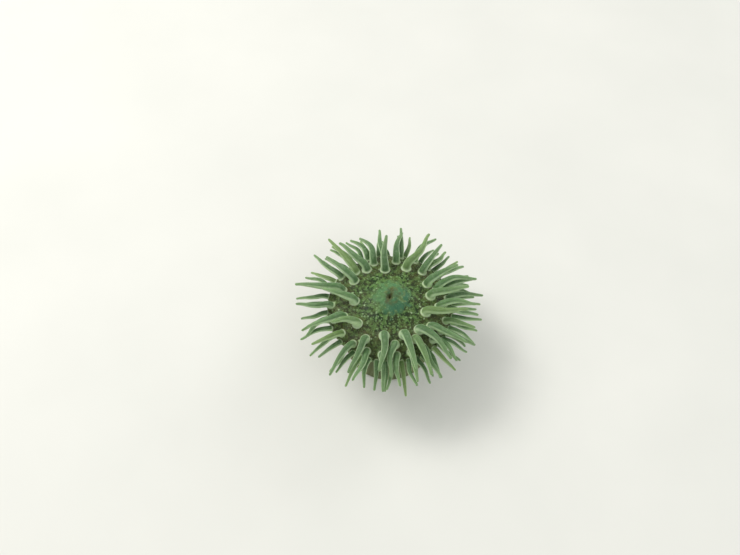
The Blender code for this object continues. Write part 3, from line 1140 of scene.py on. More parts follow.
@dataclass(frozen=True)
class ColumnRelief:
    """The column's furrows and wrinkles and the foot's scallops, by height, in millimetres."""
    top: tuple[float, float] = (13.0, 20.5)
    furrows: Swayed = Swayed(24.0, 0.0, (Wave(3.0, 0.3, 0.5), Wave(7.0, -0.5, 0.3)))
    furrow_width: float = 0.7
    furrow_depth: float = 0.16
    foot: tuple[float, float] = (0.6, 5.5)
    scallops: Swayed = Swayed(15.0, 0.0, (Wave(2.0, size=1.8), Wave(5.0, size=0.9)))
    scallop_middle: float = 0.75
    scallop_usual: float = 0.6
    scallop_change: Wave = Wave(4.0, size=0.4, phase=0.8)
    scallop_depth: float = 0.22
    waist: Zone = Zone(2.5, 5.0, 13.5, 18.0)
    wrinkles: Swayed = Swayed(0.0, 4.1, (Wave(3.0, 0.4, 2.6), Wave(8.0, -0.7, 1.8), Wave(17.0, 1.3, 0.9)))
    wrinkled: tuple[Wave, ...] = (Wave(5.0, 0.6), Wave(9.0, -0.9, 0.9, 1.0))
    wrinkled_from: tuple[float, float] = (-0.5, 1.1)
    wrinkle_depth: float = 0.07
    edge: tuple[float, float] = (20.8, 22.2)
    lines: Swayed = Swayed(24.0, 0.0, (Wave(3.0, 0.2, 0.35), Wave(9.0, -0.6, 0.15)))
    line_sharpness: int = 6
    line_least: float = 0.4
    line_breaks: Swayed = Swayed(0.0, 0.9, (Wave(7.0, size=5.0),))
    line_usual: float = 0.65
    line_change: float = 0.35
    line_top: tuple[float, float] = (12.0, 19.0)

    def stand(self, height: Array, azimuth: Array) -> Array:
        """Work out how far the column stands out.

        Args:
            height: heights over the floor.
            azimuth: angles round the axis, in radians.

        Returns:
            How far each point stands out.
        """
        furrows = np.abs(np.sin(self.furrows.angle(azimuth, height))) ** self.furrow_width
        furrows = smooth_step(*self.top, height) * (furrows - self.furrow_width)
        scallops = np.abs(np.sin(self.scallops.angle(azimuth, height))) - self.scallop_middle
        scallops *= self.scallop_usual + self.scallop_change.at(azimuth, height)
        scallops *= 1.0 - smooth_step(*self.foot, height)
        wrinkles = np.sin(self.wrinkles.angle(azimuth, height)) * self.waist.strength(height)
        wrinkles *= smooth_step(*self.wrinkled_from, total(self.wrinkled, azimuth, height))
        relief = self.furrow_depth * furrows + self.scallop_depth * scallops + self.wrinkle_depth * wrinkles
        return relief * (1.0 - smooth_step(*self.edge, height))

    def line_strength(self, height: Array, azimuth: Array) -> Array:
        """Work out how strong the thin pale lines are that run down the column.

        Args:
            height: heights over the floor.
            azimuth: angles round the axis, in radians.

        Returns:
            The strength at each point, from 0 to 1. Every other line is a fainter one.
        """
        angle = self.lines.angle(azimuth, height)
        lines = np.abs(np.cos(angle)) ** self.line_sharpness
        lines *= self.line_least + (1.0 - self.line_least) * np.cos(0.5 * angle) ** 2
        lines *= self.line_usual + self.line_change * np.sin(self.line_breaks.angle(azimuth, height))
        return lines * (1.0 - smooth_step(*self.line_top, height))


@dataclass
class Relief:
    """How far the flesh stands out from the turned outline, and how near the roots it is."""
    outline: Outline
    tentacles: list[Tentacle]
    flare: float
    fillet_height: float = 0.42
    fillet_width: float = 0.5
    ridge_height: float = 0.2
    disc: DiscRelief = DiscRelief()
    cone: ConeRelief = ConeRelief()
    column: ColumnRelief = ColumnRelief()
    roots: Array = field(init=False)
    root_radii: Array = field(init=False)

    def __post_init__(self) -> None:
        """Note where the roots stand and how wide they are."""
        self.roots = np.array([tentacle.path[0] for tentacle in self.tentacles])
        self.root_radii = np.array([t.plan.root_radius * (1.0 + self.flare) for t in self.tentacles])

    def root_distance(self, points: Array) -> Array:
        """Return each point's distance to the edge of every root, 0 within it."""
        gap = np.linalg.norm(points[:, None] - self.roots[None], axis=2) - self.root_radii[None]
        return np.maximum(gap, 0.0)

    def fillets(self, points: Array) -> Array:
        """Return how far the disc swells up towards the roots round each point."""
        swell = self.fillet_height * np.exp(-self.root_distance(points) / self.fillet_width)
        return swell.sum(axis=1)

    def folds(self, arc: Array, azimuth: Array) -> Array:
        """Return how far the column stands out at some distances along the outline."""
        return self.column.stand(self.outline.at(arc)[1], azimuth)

    def lines(self, arc: Array, azimuth: Array) -> Array:
        """Return the strength of the column's pale lines, from 0 to 1."""
        return self.column.line_strength(self.outline.at(arc)[1], azimuth)

    def ridge(self, stand: Array) -> Array:
        """Return how far points are up a ridge, from 0 in the furrows to 1, by how far they stand out."""
        return np.clip(0.5 + stand / self.ridge_height, 0.0, 1.0)


@dataclass
class Suckers:
    """Small round suckers in upright rows on the upper column, by which grains hold on."""
    outline: Outline
    columns: int = 24
    rows: int = 6
    top_height: float = 19.6
    spacing: float = 1.75
    radius: float = 0.55
    height: float = 0.24
    missing: float = 0.12
    missing_lower: float = 0.07
    row_scatter: float = 0.5
    column_scatter: float = 0.24
    least_size: float = 0.7
    size_change: float = 0.4
    smaller_lower: float = 0.06
    dome_power: float = 1.2
    dimple_depth: float = 0.75
    dimple_width: float = 0.38
    paint_strength: float = 1.6

    def centres(self) -> tuple[Array, Array]:
        """Place the suckers, fewer and smaller in the lower rows.

        Returns:
            Their centres, and their sizes as shares of the full one.
        """
        places, sizes = [], []
        for row in range(self.rows):
            height = self.top_height - row * self.spacing
            for column in range(self.columns):
                chance = chance_at(column, row)
                if chance < self.missing + self.missing_lower * row:
                    continue
                level = height + self.row_scatter * (chance - 0.5)
                radius = self.outline.side_radius(level)
                aside = 0.5 * (row % 2) + self.column_scatter * (chance - 0.5)
                azimuth = FULL_TURN * (column + aside) / self.columns
                places.append((radius * math.cos(azimuth), radius * math.sin(azimuth), level))
                size = self.least_size + self.size_change * chance
                sizes.append(size * (1.0 - self.smaller_lower * row))
        return np.array(places), np.array(sizes)

    def swell(self, points: Array) -> tuple[Array, Array]:
        """Raise the suckers.

        Args:
            points: points of the column.

        Returns:
            How far each point stands out, and how much of it is sucker, from 0 to 1.
        """
        places, sizes = self.centres()
        gap = np.linalg.norm(points[:, None] - places[None], axis=2) / (self.radius * sizes[None])
        dome = np.clip(1.0 - gap ** 2, 0.0, None) ** self.dome_power
        dimple = self.dimple_depth * np.exp(-(gap / self.dimple_width) ** 2)
        stand = (self.height * sizes[None] * (dome - dimple * (gap < 1.0))).sum(axis=1)
        return stand, np.clip(dome.sum(axis=1) * self.paint_strength, 0.0, 1.0)


# ---------- the skin

@dataclass(frozen=True)
class Slit:
    """The mouth's slit: its azimuth in degrees, and how the lips draw in to it, in millimetres."""
    azimuth: float = 78.0
    lengthwise_share: float = 0.12
    sideways_share: float = 0.52
    drawn_in: tuple[float, float] = (0.9, 4.4)
    depth: float = 0.5
    sunk_in: tuple[float, float] = (0.3, 1.5)
    floor_depth: float = 0.25

    def draw(self, points: Array, arc: float) -> Array:
        """Draw a loop of points in to the slit, and down into it.

        Args:
            points: the loop's points.
            arc: its distance along the outline.

        Returns:
            The points after it.
        """
        turn = math.radians(self.azimuth)
        lengthwise = np.array((math.cos(turn), math.sin(turn), 0.0))
        sideways = np.array((-math.sin(turn), math.cos(turn), 0.0))
        into = 1.0 - smooth_step(*self.drawn_in, arc)
        points = points - self.lengthwise_share * into * (points @ lengthwise)[:, None] * lengthwise
        points = points - self.sideways_share * into * (points @ sideways)[:, None] * sideways
        points[:, 2] -= self.depth * (1.0 - smooth_step(*self.sunk_in, arc))
        return points


@dataclass
class SkinMaker:
    """Puts the whole skin together: mouth, oral disc with its tentacles, column and foot."""
    outline: Outline
    tentacles: list[Tentacle]
    tubes: TubeMaker = field(default_factory=TubeMaker)
    slit: Slit = Slit()
    cone_arc: float = 7.4
    cone_top_arc: float = 2.2
    cone_rings: int = 15
    lip_arcs: tuple[float, float] = (1.95, 0.4)
    lip_rings: int = 10
    cone_sides: int = 96
    edge_height: float = 21.6
    grid: float = 0.42
    row_step: float = 0.88
    first_row: float = 0.8
    last_row: float = 0.6
    root_room: float = 0.62
    root_loops: tuple[float, ...] = (0.2, 0.45)
    root_loop_sides: int = 22
    edge_room: float = 0.15
    disc_folds: tuple[float, float] = (22.0, 26.0)
    tube_edge: float = 0.3
    root_edge: float = 1.6
    far_side: float = 0.5
    below_rim: tuple[float, float] = (-0.6, 2.2)
    column_sides: int = 288
    column_step: float = 0.28
    column_sheet_width: float = 100.0
    ground_height: float = 0.8
    ground_relief: float = 0.35
    foot_rings: int = 6
    skin: SkinMesh = field(init=False, default_factory=SkinMesh)
    relief: Relief = field(init=False)
    edge_arc: float = field(init=False)
    disc_sheet: Sheet = field(init=False)

    def __post_init__(self) -> None:
        """Note how the flesh stands out and where the disc ends, and lay its flat sheet."""
        self.relief = Relief(self.outline, self.tentacles, self.tubes.root_flare)
        radius = self.outline.side_radius(self.edge_height)
        self.edge_arc = float(self.outline.nearest_arc(radius, self.edge_height)[0])
        self.disc_sheet = self.skin.new_sheet(2.0 * self.edge_arc, 2.0 * self.edge_arc)

    def root_arc(self, tentacle: Tentacle) -> float:
        """Return how far along the outline a tentacle's root is."""
        root = tentacle.path[0]
        return float(self.outline.nearest_arc(math.hypot(root[0], root[1]), root[2])[0])

    def below(self, arc: Array) -> Array:
        """Return how far below the rim points are, from 0 on the disc to 1 on the column."""
        rim = self.outline.rim_arc()
        return smooth_step(rim + self.below_rim[0], rim + self.below_rim[1], arc)

    def mouth_rings(self) -> Array:
        """Build the cone, the lips and the mouth sunk between them.

        Returns:
            The numbers of the cone's outermost loop.
        """
        azimuth = even_azimuths(self.cone_sides)
        closed = np.append(azimuth, azimuth[0])
        cone = np.linspace(self.cone_arc, self.cone_top_arc, self.cone_rings)
        lips = np.linspace(*self.lip_arcs, self.lip_rings)
        loops, flats = [], []
        for arc in np.concatenate((cone, lips)):
            arcs = np.full(self.cone_sides, arc)
            points, normals = self.outline.surface(arcs, azimuth)
            points = self.slit.draw(points + normals * self.relief.cone.stand(arcs, azimuth)[:, None], arc)
            loops.append(self.skin.add_points(points, arc=arc))
            flats.append(self.disc_sheet.round(np.full(len(closed), arc), closed))
        for i in range(1, len(loops)):
            self.skin.add_band(loops[i - 1], loops[i], self.disc_sheet, flats[i - 1], flats[i])
        floor = self.skin.points[-1].mean(axis=0) - np.array((0.0, 0.0, self.slit.floor_depth))
        pole = self.skin.add_points(floor[None], arc=0.0)[0]
        self.skin.add_fan(loops[-1], pole, self.disc_sheet, flats[-1], flats[-1][:-1].mean(axis=0))
        return loops[0]

    def spread(self) -> tuple[Array, Array]:
        """Spread points evenly over the disc, clear of the roots.

        Returns:
            Distances along the outline, and azimuths.
        """
        arcs, turns = [], []
        first = self.cone_arc + self.first_row * self.grid
        last = self.edge_arc - self.last_row * self.grid
        for row, level in enumerate(np.arange(first, last, self.grid * self.row_step)):
            radius = float(self.outline.at(level)[0])
            count = int(round(FULL_TURN * radius / self.grid))
            arcs.append(np.full(count, level))
            turns.append(shifted_azimuths(count, 0.5 * (row % 2)))
        arc, turn = np.concatenate(arcs), np.concatenate(turns)
        points, _ = self.outline.surface(arc, turn)
        clear = self.relief.root_distance(points).min(axis=1) > self.root_room
        return arc[clear], turn[clear]

    def round_roots(self) -> tuple[Array, Array]:
        """Lay loops of points round each root, but for those nearer another root.

        Returns:
            Distances along the outline, and azimuths.
        """
        arcs, turns = [], []
        for number, tentacle in enumerate(self.tentacles):
            root_arc = self.root_arc(tentacle)
            root_turn = math.radians(tentacle.azimuth)
            for loop, away in enumerate(self.root_loops):
                around = shifted_azimuths(self.root_loop_sides, 0.5 * (loop % 2))
                reach = self.relief.root_radii[number] + away
                arc = root_arc + reach * np.cos(around)
                turn = root_turn + reach * np.sin(around) / self.outline.at(arc)[0]
                points, _ = self.outline.surface(arc, turn)
                others = np.delete(self.relief.root_distance(points), number, axis=1).min(axis=1)
                inside = (arc > self.cone_arc + self.edge_room) & (arc < self.edge_arc - self.edge_room)
                kept = inside & (others > away)
                arcs.append(arc[kept])
                turns.append(turn[kept])
        return np.concatenate(arcs), np.concatenate(turns)

    def disc_web(self, roots: Array) -> tuple[Web, Array, Array, Array]:
        """Lay out the flat sheet of the oral disc and the margin.

        Args:
            roots: the first ring of every tube.

        Returns:
            The sheet, and the numbers there of every root's loop, of its inner loop and its outer one.
        """
        web = Web()
        holes = []
        for ring in roots:
            arc = self.outline.nearest_arc(np.hypot(ring[:, 0], ring[:, 1]), ring[:, 2])
            holes.append(web.add_loop(arc, np.arctan2(ring[:, 1], ring[:, 0]), True))
        cone, edge = even_azimuths(self.cone_sides), even_azimuths(self.column_sides)
        inner = web.add_loop(np.full(self.cone_sides, self.cone_arc), cone, True)
        outer = web.add_loop(np.full(self.column_sides, self.edge_arc), edge, False)
        web.add(*self.spread())
        web.add(*self.round_roots())
        return web, np.array(holes), inner, outer

    def disc(self, roots: Array, inner: Array) -> tuple[Array, Array]:
        """Build the oral disc and the margin as one sheet with a hole at every root.

        Args:
            roots: the first ring of every tube.
            inner: the numbers of the cone's outermost loop.

        Returns:
            The numbers of every hole's loop, and of the sheet's outermost loop.
        """
        web, holes, web_inner, web_outer = self.disc_web(roots)
        arc, turn = web.places()
        points, normals = self.outline.surface(arc, turn)
        folds = self.relief.folds(arc, turn) * smooth_step(*self.disc_folds, arc)
        furrows = self.relief.disc.stand(arc, turn)
        lift = self.relief.fillets(points) + furrows + folds + self.relief.cone.stand(arc, turn)
        points += normals * lift[:, None]
        gap = self.relief.root_distance(points).min(axis=1)
        marks = {
            "arc": arc, "below": self.below(arc), "ridge": self.relief.ridge(2.0 * furrows + folds),
            "tube": np.exp(-gap / self.tube_edge), "near_root": np.exp(-gap / self.root_edge),
        }
        new = np.ones(web.count, dtype=bool)
        new[web_inner] = False
        numbers = np.empty(web.count, dtype=int)
        marks = {name: values[new] for name, values in marks.items()}
        numbers[new] = self.skin.add_points(points[new], **marks)
        numbers[web_inner] = inner
        flat = self.disc_sheet.round(arc, turn)
        for corners in web.spun():
            self.skin.add_face(numbers[corners], self.disc_sheet, flat[corners])
        return numbers[holes], numbers[web_outer]

    def flank(self, ring: Array) -> Array:
        """Work out where the painted rim light of the pale flanks lies round one ring: how upright the
        tube's wall is, less where it faces the mouth.

        Args:
            ring: the ring's points.

        Returns:
            The value at each point, from 0 to 1.
        """
        centre = ring.mean(axis=0)
        spoke = ring - centre
        spoke /= np.linalg.norm(spoke, axis=1)[:, None]
        to_mouth = -centre[:2] / np.linalg.norm(centre[:2])
        facing = np.clip(spoke[:, :2] @ to_mouth, 0.0, 1.0)
        upright = np.sqrt(np.clip(1.0 - spoke[:, 2] ** 2, 0.0, 1.0))
        return upright * (1.0 - self.far_side * facing ** 2)

    def tentacle_skin(self, tubes: Array, holes: Array) -> None:
        """Join every tube to its hole and close its tip.

        Args:
            tubes: the tubes' points by tentacle, ring and side.
            holes: the numbers of the holes' loops.
        """
        for number, tentacle in enumerate(self.tentacles):
            shares = self.tubes.shares(tentacle)
            tone = 0.5 + 0.5 * variation(number, Trait.TONE.value)
            same = {"arc": self.root_arc(tentacle), "tube": 1.0, "tone": tone}
            sheet = self.skin.new_sheet(FULL_TURN * self.relief.root_radii[number], tentacle.length)
            middle = tubes[number, self.tubes.rings // 2]
            under = int(np.argmin(middle[:, 2]))
            lower = np.roll(holes[number], -under)
            lower_flat = sheet.strip(self.tubes.sides, 0.0)
            for ring in range(1, self.tubes.rings - 1):
                points = tubes[number, ring]
                # each ring carries where the painted rim light of its flanks lies
                upper = self.skin.add_points(points, along=shares[ring], flank=self.flank(points), **same)
                upper = np.roll(upper, -under)
                upper_flat = sheet.strip(self.tubes.sides, shares[ring] * tentacle.length)
                self.skin.add_band(lower, upper, sheet, lower_flat, upper_flat)
                lower, lower_flat = upper, upper_flat
            tip = tubes[number, -1].mean(axis=0)
            pole = self.skin.add_points(tip[None], along=1.0, flank=1.0, **same)[0]
            self.skin.add_fan(lower, pole, sheet, lower_flat, (0.5 * sheet.width, sheet.height))

    def column(self, upper: Array) -> Array:
        """Build the column down to the foot.

        Args:
            upper: the numbers of the disc's outermost loop.

        Returns:
            The numbers of the lowest loop.
        """
        suckers = Suckers(self.outline)
        azimuth = even_azimuths(self.column_sides)
        start, end = self.edge_arc, self.outline.arc[-1]
        count = int(round((end - start) / self.column_step))
        sheet = self.skin.new_sheet(self.column_sheet_width, end - start)
        upper_flat = sheet.strip(self.column_sides, end - start)
        for arc in np.linspace(start, end, count + 1)[1:]:
            arcs = np.full(self.column_sides, arc)
            points, normals = self.outline.surface(arcs, azimuth)
            folds = self.relief.folds(arcs, azimuth)
            stand, sucker = suckers.swell(points)
            ground = smooth_step(0.0, self.ground_height, points[:, 2])
            weight = self.ground_relief + (1.0 - self.ground_relief) * ground
            points += normals * ((folds + stand) * weight)[:, None]
            points[:, 2] = np.where(arc == end, 0.0, np.maximum(points[:, 2], 0.0))
            numbers = self.skin.add_points(points, arc=arc, below=self.below(arc), sucker=sucker,
                                           line=self.relief.lines(arcs, azimuth),
                                           ridge=self.relief.ridge(folds))
            flat = sheet.strip(self.column_sides, end - arc)
            self.skin.add_band(numbers, upper, sheet, flat, upper_flat)
            upper, upper_flat = numbers, flat
        return upper

    def foot(self, upper: Array) -> None:
        """Close the flat underside of the foot.

        Args:
            upper: the numbers of the column's lowest loop, the last that was added.
        """
        azimuth = even_azimuths(self.column_sides)
        end = self.outline.arc[-1]
        edge = self.skin.points[-1]
        reach = np.hypot(edge[:, 0], edge[:, 1])
        sheet = self.skin.new_sheet(2.0 * reach.max(), 2.0 * reach.max())
        closed = np.append(np.arange(self.column_sides), 0)
        upper_flat = sheet.round(reach, -azimuth)[closed]
        for ring in range(1, self.foot_rings):
            share = 1.0 - ring / self.foot_rings
            numbers = self.skin.add_points(edge * np.array((share, share, 0.0)), arc=end, below=1.0)
            flat = sheet.round(reach * share, -azimuth)[closed]
            self.skin.add_band(numbers, upper, sheet, flat, upper_flat)
            upper, upper_flat = numbers, flat
        pole = self.skin.add_points(np.zeros((1, 3)), arc=end, below=1.0)[0]
        middle = (0.5 * sheet.width, 0.5 * sheet.height)
        self.skin.add_fan(upper[::-1], pole, sheet, upper_flat[::-1], middle)

    def build(self, flesh: Material) -> bpy.types.Object:
        """Build the skin as one closed piece.

        Args:
            flesh: its material.

        Returns:
            The piece.
        """
        tubes = self.tubes.build(self.tentacles, flesh)
        holes, outer = self.disc(tubes[:, 0], self.mouth_rings())
        self.tentacle_skin(tubes, holes)
        self.foot(self.column(outer))
        return self.skin.finished("anemone_skin", flesh)


# ---------- the finish

# The curve between display values and linear light: a straight foot and a power above it.
DISPLAY_TOP, FOOT_END, FOOT_SLOPE = 255.0, 0.04045, 12.92
CURVE_SHIFT, CURVE_SCALE, CURVE_POWER = 0.055, 1.055, 2.4


def paint(red: int, green: int, blue: int) -> Colour:
    """Turn a colour given in display values into a linear one for a shader.

    Args:
        red: its red, from 0 to 255.
        green: its green.
        blue: its blue.

    Returns:
        The linear colour, opaque.
    """
    def linear(value: int) -> float:
        """Return one channel in linear light."""
        share = value / DISPLAY_TOP
        if share <= FOOT_END:
            return share / FOOT_SLOPE
        return ((share + CURVE_SHIFT) / CURVE_SCALE) ** CURVE_POWER
    return linear(red), linear(green), linear(blue), 1.0


@dataclass(frozen=True)
class Flecks:
    """The group that scatters small spots, each of its own size and strength."""
    raggedness: float = 0.8
    bend_detail: float = 1.0
    sizes: tuple[float, float] = (0.55, 1.25)
    softness: float = 0.85
    onset: float = 0.06

    def build(self) -> Tree:
        """Build the group.

        Returns:
            The group, which turns a place into a mask of spots and a tone for each.
        """
        tree = new_group(
            "flecks",
            {"Vector": "Vector", "Cells": "Float", "Share": "Float", "Size": "Float"},
            {"Mask": "Float", "Tone": "Float"},
        )
        board = Board(tree)
        given = tree.nodes["Group Input"].outputs
        result = tree.nodes["Group Output"].inputs
        warp = board.add("ShaderNodeTexNoise", Vector=given["Vector"], Scale=given["Cells"],
                         Detail=self.bend_detail)
        centred = board.vector("SUBTRACT", warp.outputs["Color"], (0.5, 0.5, 0.5))
        reach = board.math("DIVIDE", self.raggedness, given["Cells"])
        bent = board.vector("ADD", given["Vector"], board.vector("SCALE", centred, reach))
        cells = board.add("ShaderNodeTexVoronoi", {"feature": "F1"}, Vector=bent, Scale=given["Cells"])
        chance = board.add("ShaderNodeSeparateColor", Color=cells.outputs["Color"]).outputs
        growth = board.rise(chance["Green"], Fade(0.0, 1.0, *self.sizes))
        size = board.math("MULTIPLY", given["Size"], growth)
        edge = board.math("DIVIDE", board.math("SUBTRACT", size, cells.outputs["Distance"]), size)
        spot = board.rise(edge, Fade(0.0, self.softness))
        kept = board.rise(board.math("SUBTRACT", given["Share"], chance["Red"]), Fade(0.0, self.onset))
        board.feed(result["Mask"], board.math("MULTIPLY", spot, kept))
        board.feed(result["Tone"], chance["Blue"])
        return tree


@dataclass(frozen=True)
class Blotches:
    """The group that lays soft cloudy patches."""
    detail: float = 3.0
    roughness: float = 0.55

    def build(self) -> Tree:
        """Build the group.

        Returns:
            The group, which turns a place into a mask of patches.
        """
        tree = new_group(
            "blotches",
            {"Vector": "Vector", "Scale": "Float", "Low": "Float", "High": "Float"},
            {"Mask": "Float"},
        )
        board = Board(tree)
        given = tree.nodes["Group Input"].outputs
        clouds = board.add("ShaderNodeTexNoise", Vector=given["Vector"], Scale=given["Scale"],
                           Detail=self.detail, Roughness=self.roughness)
        mask = board.rise(clouds.outputs["Fac"], Fade(given["Low"], given["High"]))
        board.feed(tree.nodes["Group Output"].inputs["Mask"], mask)
        return tree


@dataclass(frozen=True)
class Spots:
    """How spots are scattered: cells to a metre, the share of them that hold a spot, and its size."""
    cells: float
    share: float
    size: float


@dataclass(frozen=True)
class Patches:
    """How patches are laid: the scale of their noise, and the values where they begin and are full."""
    scale: float
    low: float
    high: float


@dataclass
class FleshBoard(Board):
    """A board that knows the place on the skin, and the groups of spots and patches."""
    place: Socket = field(init=False)
    flecks: Tree = field(init=False)
    blotches: Tree = field(init=False)
    made: dict[Spots | Patches, Node] = field(default_factory=dict)

    def __post_init__(self) -> None:
        """Place the object coordinates and build the groups."""
        self.place = self.add("ShaderNodeTexCoord").outputs["Object"]
        self.flecks = Flecks().build()
        self.blotches = Blotches().build()

    def laid(self, plan: Spots | Patches, tree: Tree) -> Node:
        """Lay out a plan the first time that it is asked for.

        Args:
            plan: the plan, whose values have the names of the group's inputs.
            tree: the group.

        Returns:
            The node that holds the group with the plan's values.
        """
        if plan not in self.made:
            values = {name.title(): value for name, value in vars(plan).items()}
            self.made[plan] = self.group(tree, Vector=self.place, **values)
        return self.made[plan]

    def spots(self, plan: Spots) -> bpy.types.NodeOutputs:
        """Return the mask and the tone of scattered spots."""
        return self.laid(plan, self.flecks).outputs

    def patches(self, plan: Patches) -> Socket:
        """Return a mask of patches."""
        return self.laid(plan, self.blotches).outputs["Mask"]

    def coordinate(self, axis: str) -> Socket:
        """Return one coordinate of the place, X, Y or Z, in millimetres."""
        split = self.add("ShaderNodeSeparateXYZ", Vector=self.place)
        return self.math("MULTIPLY", split.outputs[axis], MM_PER_METRE)


@dataclass(frozen=True)
class DiscFinish:
    """The gritty olive ring of the disc, the teal cone in its middle and the brown mouth, with painted
    shade in the ring's furrows.
    """
    teal: Colour = paint(86, 128, 80)
    deep_teal: Colour = paint(54, 100, 72)
    teal_olive: Colour = paint(104, 118, 64)
    teal_speck: Colour = paint(134, 168, 122)
    mouth: Colour = paint(76, 66, 36)
    ring: Colour = paint(88, 122, 62)
    # also laid into the furrows as painted shade
    ring_dark: Colour = paint(26, 44, 18)
    ring_brown: Colour = paint(78, 76, 40)
    ring_fleck: Colour = paint(112, 148, 86)
    ring_pale: Colour = paint(148, 178, 128)
    ring_bright: Colour = paint(194, 216, 170)
    clouds: Patches = Patches(330.0, 0.38, 0.64)
    patches: Patches = Patches(760.0, 0.44, 0.58)
    stains: Patches = Patches(620.0, 0.5, 0.66)
    fine: Spots = Spots(2200.0, 0.7, 0.5)
    coarse: Spots = Spots(1150.0, 0.66, 0.5)
    bright: Spots = Spots(740.0, 0.18, 0.36)
    brown_clouds: float = 0.3
    brown_outwards: Fade = Fade(9.0, 16.0, 0.0, 0.4)
    brown_at_roots: float = 0.6
    # how dark the furrows are painted: painted shade
    furrow_shade: Fade = Fade(0.45, 0.0, 0.0, 0.4)
    fine_strength: float = 0.6
    coarse_strength: Fade = Fade(8.0, 15.0, 0.85, 0.5)
    bright_strength: float = 0.85
    deep_side: Fade = Fade(-4.0, 7.0)
    deep_patches: float = 0.45
    stain_strength: float = 0.6
    olive_side: Fade = Fade(1.0, -5.0)
    olive_strength: float = 0.55
    speck_strength: float = 0.3
    wander_scale: float = 560.0
    wander_detail: float = 4.0
    wander_reach: float = 7.0
    olive_reach: float = 2.2
    sharp_edge: Fade = Fade(5.2, 8.0)
    soft_edge: Fade = Fade(2.0, 11.0)
    blush: Fade = Fade(4.2, 1.0)
    blush_strength: float = 0.8

    def ring_paint(self, board: FleshBoard) -> Socket:
        """Paint the gritty ring, with painted shade in its furrows.

        Args:
            board: the material's board.

        Returns:
            The colour.
        """
        arc, clouds = board.mark("arc"), board.patches(self.clouds)
        coarse, bright = board.spots(self.coarse), board.spots(self.bright)
        near_roots = board.math("MULTIPLY", board.mark("near_root"), clouds)
        grit = board.lay(self.ring_fleck, self.ring_pale, coarse["Tone"])
        chip = board.lay(self.ring_pale, self.ring_bright, bright["Tone"])
        return board.layers(
            self.ring_dark,
            (self.ring, board.patches(self.patches)),
            (self.ring_brown, clouds, self.brown_clouds),
            (self.ring_brown, board.rise(arc, self.brown_outwards)),
            (self.ring_brown, near_roots, self.brown_at_roots),
            # painted shade: the ring's dark colour laid into the furrows
            (self.ring_dark, board.rise(board.mark("ridge"), self.furrow_shade)),
            (self.ring_fleck, board.spots(self.fine)["Mask"], self.fine_strength),
            (grit, coarse["Mask"], board.rise(arc, self.coarse_strength)),
            (chip, bright["Mask"], self.bright_strength),
        )

    def teal_paint(self, board: FleshBoard, olive: Socket) -> Socket:
        """Paint the teal cone, deeper on one side and olive on the other.

        Args:
            board: the material's board.
            olive: how olive it is.

        Returns:
            The colour.
        """
        across = board.math("SUBTRACT", board.coordinate("X"), board.coordinate("Y"))
        return board.layers(
            self.teal,
            (self.deep_teal, board.rise(across, self.deep_side)),
            (self.deep_teal, board.patches(self.patches), self.deep_patches),
            (self.teal_olive, board.patches(self.stains), self.stain_strength),
            (self.ring, olive, board.patches(self.clouds)),
            (self.teal_speck, board.spots(self.fine)["Mask"], self.speck_strength),
            (self.teal_speck, board.spots(self.coarse)["Mask"], self.speck_strength),
        )

    def paint(self, board: FleshBoard) -> Socket:
        """Paint the ring, the cone and the mouth, with an uneven edge between them.

        Args:
            board: the material's board.

        Returns:
            The colour.
        """
        olive = board.rise(board.coordinate("X"), self.olive_side)
        olive = board.math("MULTIPLY", olive, self.olive_strength)
        wander = board.add("ShaderNodeTexNoise", Vector=board.place, Scale=self.wander_scale,
                           Detail=self.wander_detail)
        centred = board.math("SUBTRACT", wander.outputs["Fac"], 0.5)
        reach = board.math("ADD", board.mark("arc"), board.math("MULTIPLY", centred, self.wander_reach))
        reach = board.math("ADD", reach, board.math("MULTIPLY", olive, self.olive_reach))
        edge = board.lay(board.rise(reach, self.sharp_edge), board.rise(reach, self.soft_edge), olive)
        return board.layers(
            self.teal_paint(board, olive),
            (self.ring_paint(board), edge),
            (self.mouth, board.rise(reach, self.blush), self.blush_strength),
        )


@dataclass(frozen=True)
class TentacleFinish:
    """A tentacle: a darker core, a pale tip, and pale flanks and a pale edge round its root that are
    painted rim light, for light through the thin walls.
    """
    core: Colour = paint(84, 116, 74)
    veil: Colour = paint(132, 154, 120)
    # painted rim light: the pale colour of the tentacles' flanks
    flank: Colour = paint(190, 214, 172)
    tip: Colour = paint(136, 164, 116)
    olive: Colour = paint(118, 134, 72)
    # the pale specks' colour, and the painted rim light round each root
    root_edge: Colour = paint(210, 228, 188)
    specks: Spots = Spots(2400.0, 0.12, 0.26)
    clouds: Patches = Patches(500.0, 0.4, 0.65)
    veils: Patches = Patches(1000.0, 0.42, 0.68)
    veil_strength: float = 0.4
    flank_rise: Fade = Fade(0.64, 0.96)
    tip_rise: Fade = Fade(0.3, 1.0)
    tip_strength: float = 0.6
    cloud_strength: float = 0.28
    olive_rise: Fade = Fade(0.6, 1.0, 0.0, 0.4)
    speck_strength: float = 0.35
    # where and how strongly the painted rim light round the root is laid
    edge_fall: Fade = Fade(0.085, 0.015)
    edge_strength: float = 0.85
    tones: Fade = Fade(0.0, 1.0, 0.86, 1.1)

    def paint(self, board: FleshBoard) -> Socket:
        """Paint the tentacles, each in a tone of its own.

        Args:
            board: the material's board.

        Returns:
            The colour.
        """
        along, tone = board.mark("along"), board.mark("tone")
        grey = board.rise(tone, self.tones)
        shade = board.add("ShaderNodeCombineColor", Red=grey, Green=grey, Blue=grey)
        return board.layers(
            self.core,
            (self.veil, board.patches(self.veils), self.veil_strength),
            # painted rim light: the flanks laid pale, where the thin walls would let light through
            (self.flank, board.rise(board.mark("flank"), self.flank_rise)),
            (self.tip, board.rise(along, self.tip_rise), self.tip_strength),
            (self.core, board.patches(self.clouds), self.cloud_strength),
            (self.olive, board.rise(tone, self.olive_rise)),
            (self.root_edge, board.spots(self.specks)["Mask"], self.speck_strength),
            # painted rim light: a pale ring round each root, seen as a pale edge
            (self.root_edge, board.rise(along, self.edge_fall), self.edge_strength),
            (shade.outputs["Color"], 1.0, None, "MULTIPLY"),
        )


